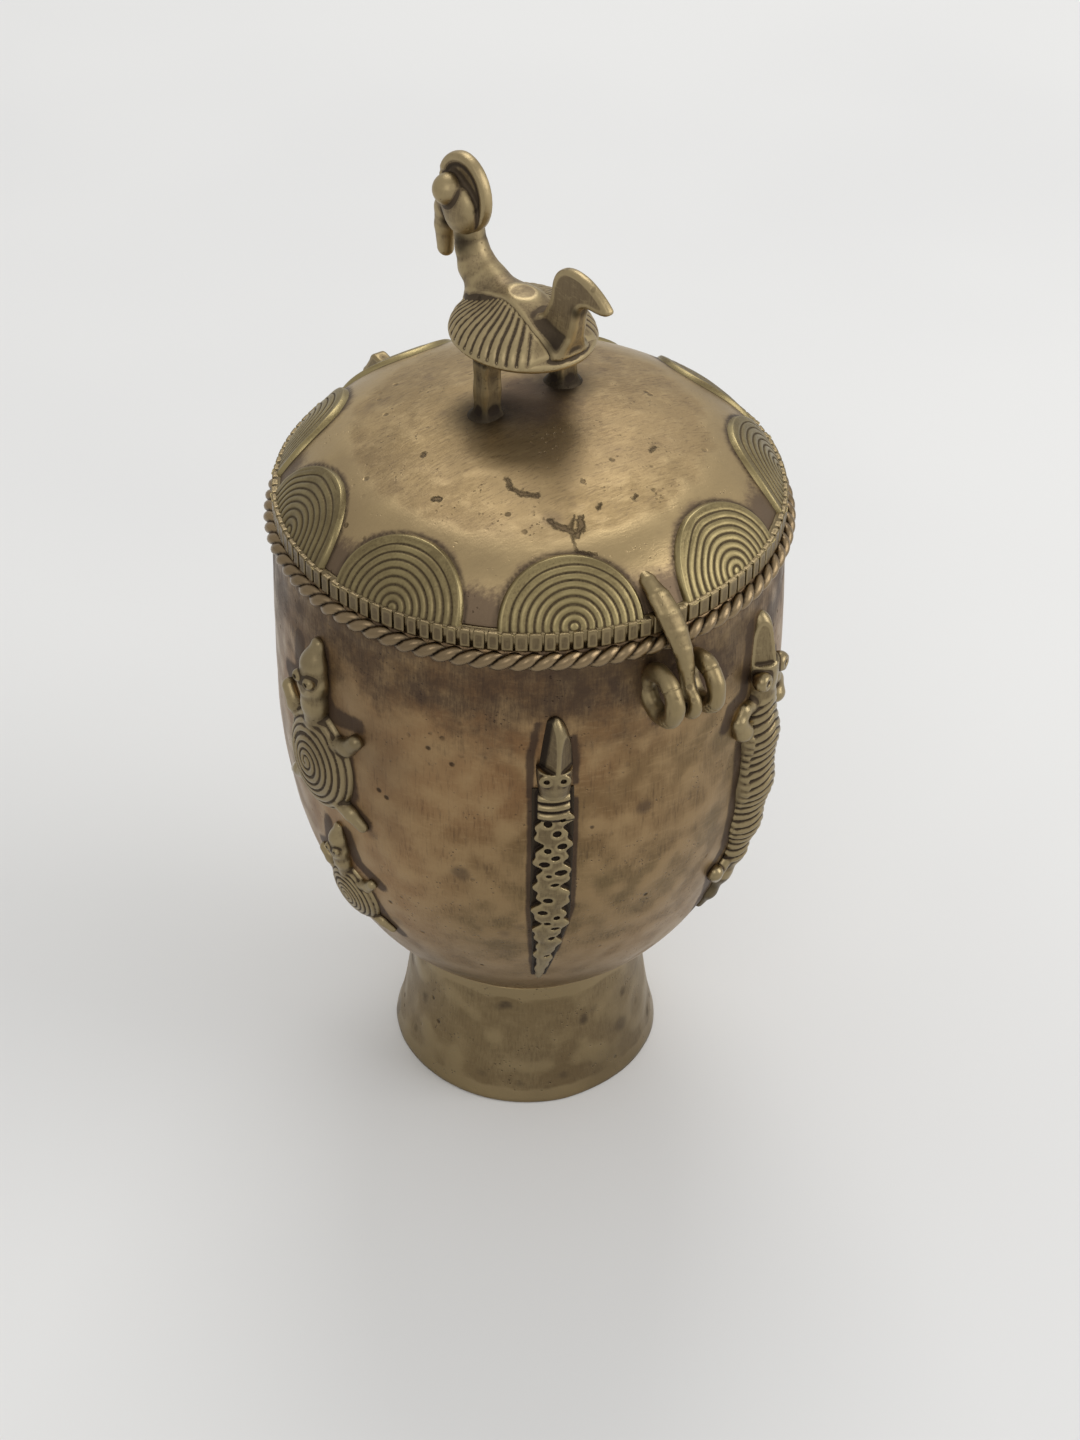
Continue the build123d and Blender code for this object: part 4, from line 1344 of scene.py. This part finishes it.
def within(flat, outline):
    """Distance to a closed outline in two directions, below zero inside it."""
    corners = np.array(outline, float)
    nearest = np.full(flat.shape[:-1], 1e9)
    inside = np.zeros(flat.shape[:-1], bool)
    for a, b in zip(corners, np.roll(corners, -1, axis=0)):
        way = b - a
        nearest = least(nearest, line_gap(flat, a, b)[0])
        crosses = (a[1] > flat[..., 1]) != (b[1] > flat[..., 1])
        steep = way[1] if abs(way[1]) > 1e-9 else 1e-9
        inside ^= crosses & (flat[..., 0] < a[0] + way[0] * (flat[..., 1] - a[1]) / steep)
    return np.where(inside, -nearest, nearest)


tail_line = ((-4.0, 4.0), (-8.2, 10.2), (-10.8, 14.0), (-12.4, 18.5), (-12.2, 22.0), (-13.2, 25.5),
             (-16.2, 28.0), (-20.6, 29.0), (-25.6, 28.3), (-30.4, 26.2), (-33.8, 23.6), (-34.8, 22.2),
             (-33.6, 21.0), (-31.0, 20.4), (-26.2, 20.4), (-24.0, 19.2), (-23.0, 16.5), (-22.2, 11.0),
             (-20.6, 5.0), (-18.0, 2.0))


def tail_form(p):
    """Distance to the tail: a flat post that widens into the back, and the blade that hooks over behind."""
    side = np.full(p.shape[:-1], 9.0)
    close = (np.abs(p[..., 1]) < 8) & (p[..., 0] < 0)
    side[close] = within(p[close][:, [0, 2]], rounded(tail_line)) + 1.0
    half = np.interp(p[..., 2], [3, 9, 18, 25, 29],
                     [4.6, 2.7, 2.1, 1.5, 1.2]) - 0.4 * unit((-25 - p[..., 0]) / 9)
    thick = (np.abs(p[..., 1]) - half + 1.0) * 0.9
    return np.hypot(most(side, 0), most(thick, 0)) + least(most(side, thick), 0) - 1.0


def leg_form(side):
    def form(p):
        post = slab(p, (0, side * leg_spread, -9.0), (2.6, 3.1, 12.5), 0.5)
        post = post + 0.1 * np.sin(p[..., 2] * 0.7 + side)
        mound = egg(p, (0.4, side * leg_spread, -22.4), (5.6, 6.2, 3.4))
        leg = smooth_least(post, mound, 2.0)
        return most(leg, -22.3 - p[..., 2])
    return form


def leg_shade(p):
    return most(0.42 + 0.5 * unit((-15.5 - p[..., 2]) / 4), np.clip((p[..., 2] + 6) / 4, 0, 0.8))


def make_bird():
    """Body, head, wings and legs."""
    def add(node, form, low, high, step, shade, also=()):
        cast(node, form, low, high, step, "lid", "bird", shade, bird_place, also)

    add("bird_body", bird_body, (-36.5, -21.5, -5.0), (31.0, 21.5, 34.0), 0.45, body_shade,
        ["bird_neck", "bird_tail_post", "bird_tail_blade"])
    add("bird_head", bird_head, (13.5, -9.5, 7.5), (39.0, 9.5, 46.5), 0.36, head_shade,
        ["bird_crest", "bird_beak", "bird_eye_left", "bird_eye_right"])
    for side, tag in ((1, "left"), (-1, "right")):
        low, high = sorted((side * 3.6, side * 21.8))
        add("bird_wing_" + tag, wing_form(side), (-21.5, low, -1.4), (23.5, high, 15.5), 0.36, wing_shade)
        middle = side * leg_spread
        add("bird_leg_" + tag, leg_form(side), (-7.5, middle - 8.5, -23.2), (8.0, middle + 8.5, 5.0), 0.42,
            leg_shade)


for make in (make_bowl, make_foot, make_rope, make_dome, make_band, make_discs, make_animals, make_rings,
             make_strap, make_leaf, make_bird):
    make()
for name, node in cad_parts.items():
    if not node.hide_render:
        node.data.materials.clear()
        node.data.materials.append(finishes["fitting"])


# Floor, light and camera
def make_floor():
    mesh = bpy.data.meshes.new("floor")
    reach = 6.0
    corners = [(x * reach, y * reach, 0) for x, y in ((-1, -1), (1, -1), (1, 1), (-1, 1))]
    mesh.from_pydata(corners, [], [range(4)])
    f = Finish("floor_cloth")
    cloud = f.noise(2.2, 3, 0.5)
    colour = f.blend(cloud.step(0.35, 0.65) * 0.5, linear(225, 225, 224), linear(216, 216, 216))
    f.feed({"Base Color": colour, "Roughness": 0.9, "Specular IOR Level": 0.1})
    mesh.materials.append(f.material)
    add_object("floor", mesh)


def make_lamp(name, place, aim_height, width, depth, power):
    data = bpy.data.lights.new(name, "AREA")
    data.shape = "RECTANGLE"
    data.size = width
    data.size_y = depth
    data.energy = power
    lamp = add_object(name, data)
    lamp.location = place
    lamp.rotation_euler = (Vector(place) - Vector((0, 0, aim_height))).to_track_quat("Z", "Y").to_euler()


def make_world(level):
    world = bpy.data.worlds.new("studio")
    world.use_nodes = True
    back = world.node_tree.nodes["Background"]
    back.inputs["Color"].default_value = (1.0, 0.995, 0.985, 1)
    back.inputs["Strength"].default_value = level
    bpy.context.scene.world = world


def photo_side(x, y, z):
    """A place given in the photograph's directions, X to the right and Y away, turned into the row frame."""
    turn = radians(photo_turn)
    return (x * cos(turn) + y * sin(turn), -x * sin(turn) + y * cos(turn), z)


def make_camera():
    """The photograph's camera: its place, its heading and its slight roll."""
    pitch, yaw, roll = (radians(v) for v in (camera_pitch, camera_yaw, camera_roll))
    ahead = Vector((sin(yaw) * cos(pitch), cos(yaw) * cos(pitch), -sin(pitch)))
    level = Vector((cos(yaw), -sin(yaw), 0))
    upright = level.cross(ahead)
    right = level * cos(roll) + upright * sin(roll)
    up = upright * cos(roll) - level * sin(roll)
    axes = [Vector(photo_side(*v)) for v in (right, up, -ahead)]
    data = bpy.data.cameras.new("camera")
    data.lens = camera_lens
    data.sensor_width = 36
    data.clip_end = 50
    camera = add_object("camera", data)
    matrix = Matrix.Identity(4)
    for column, axis in enumerate(axes):
        matrix.col[column][:3] = axis
    matrix.translation = Vector(photo_side(0, -camera_distance * MM, camera_height * MM))
    camera.matrix_world = matrix
    bpy.context.scene.camera = camera


make_floor()
make_world(world_level)
make_lamp("overhead", photo_side(0.04, 1.2, 1.75), 0.1, 0.9, 0.9, 10.5)
make_lamp("right_side", photo_side(1.4, -0.3, 0.9), 0.15, 1.0, 1.2, 10)
make_lamp("front", photo_side(-0.3, -1.5, 1.5), 0.15, 0.9, 0.9, 4)
make_camera()
bpy.context.scene.view_settings.view_transform = "Standard"
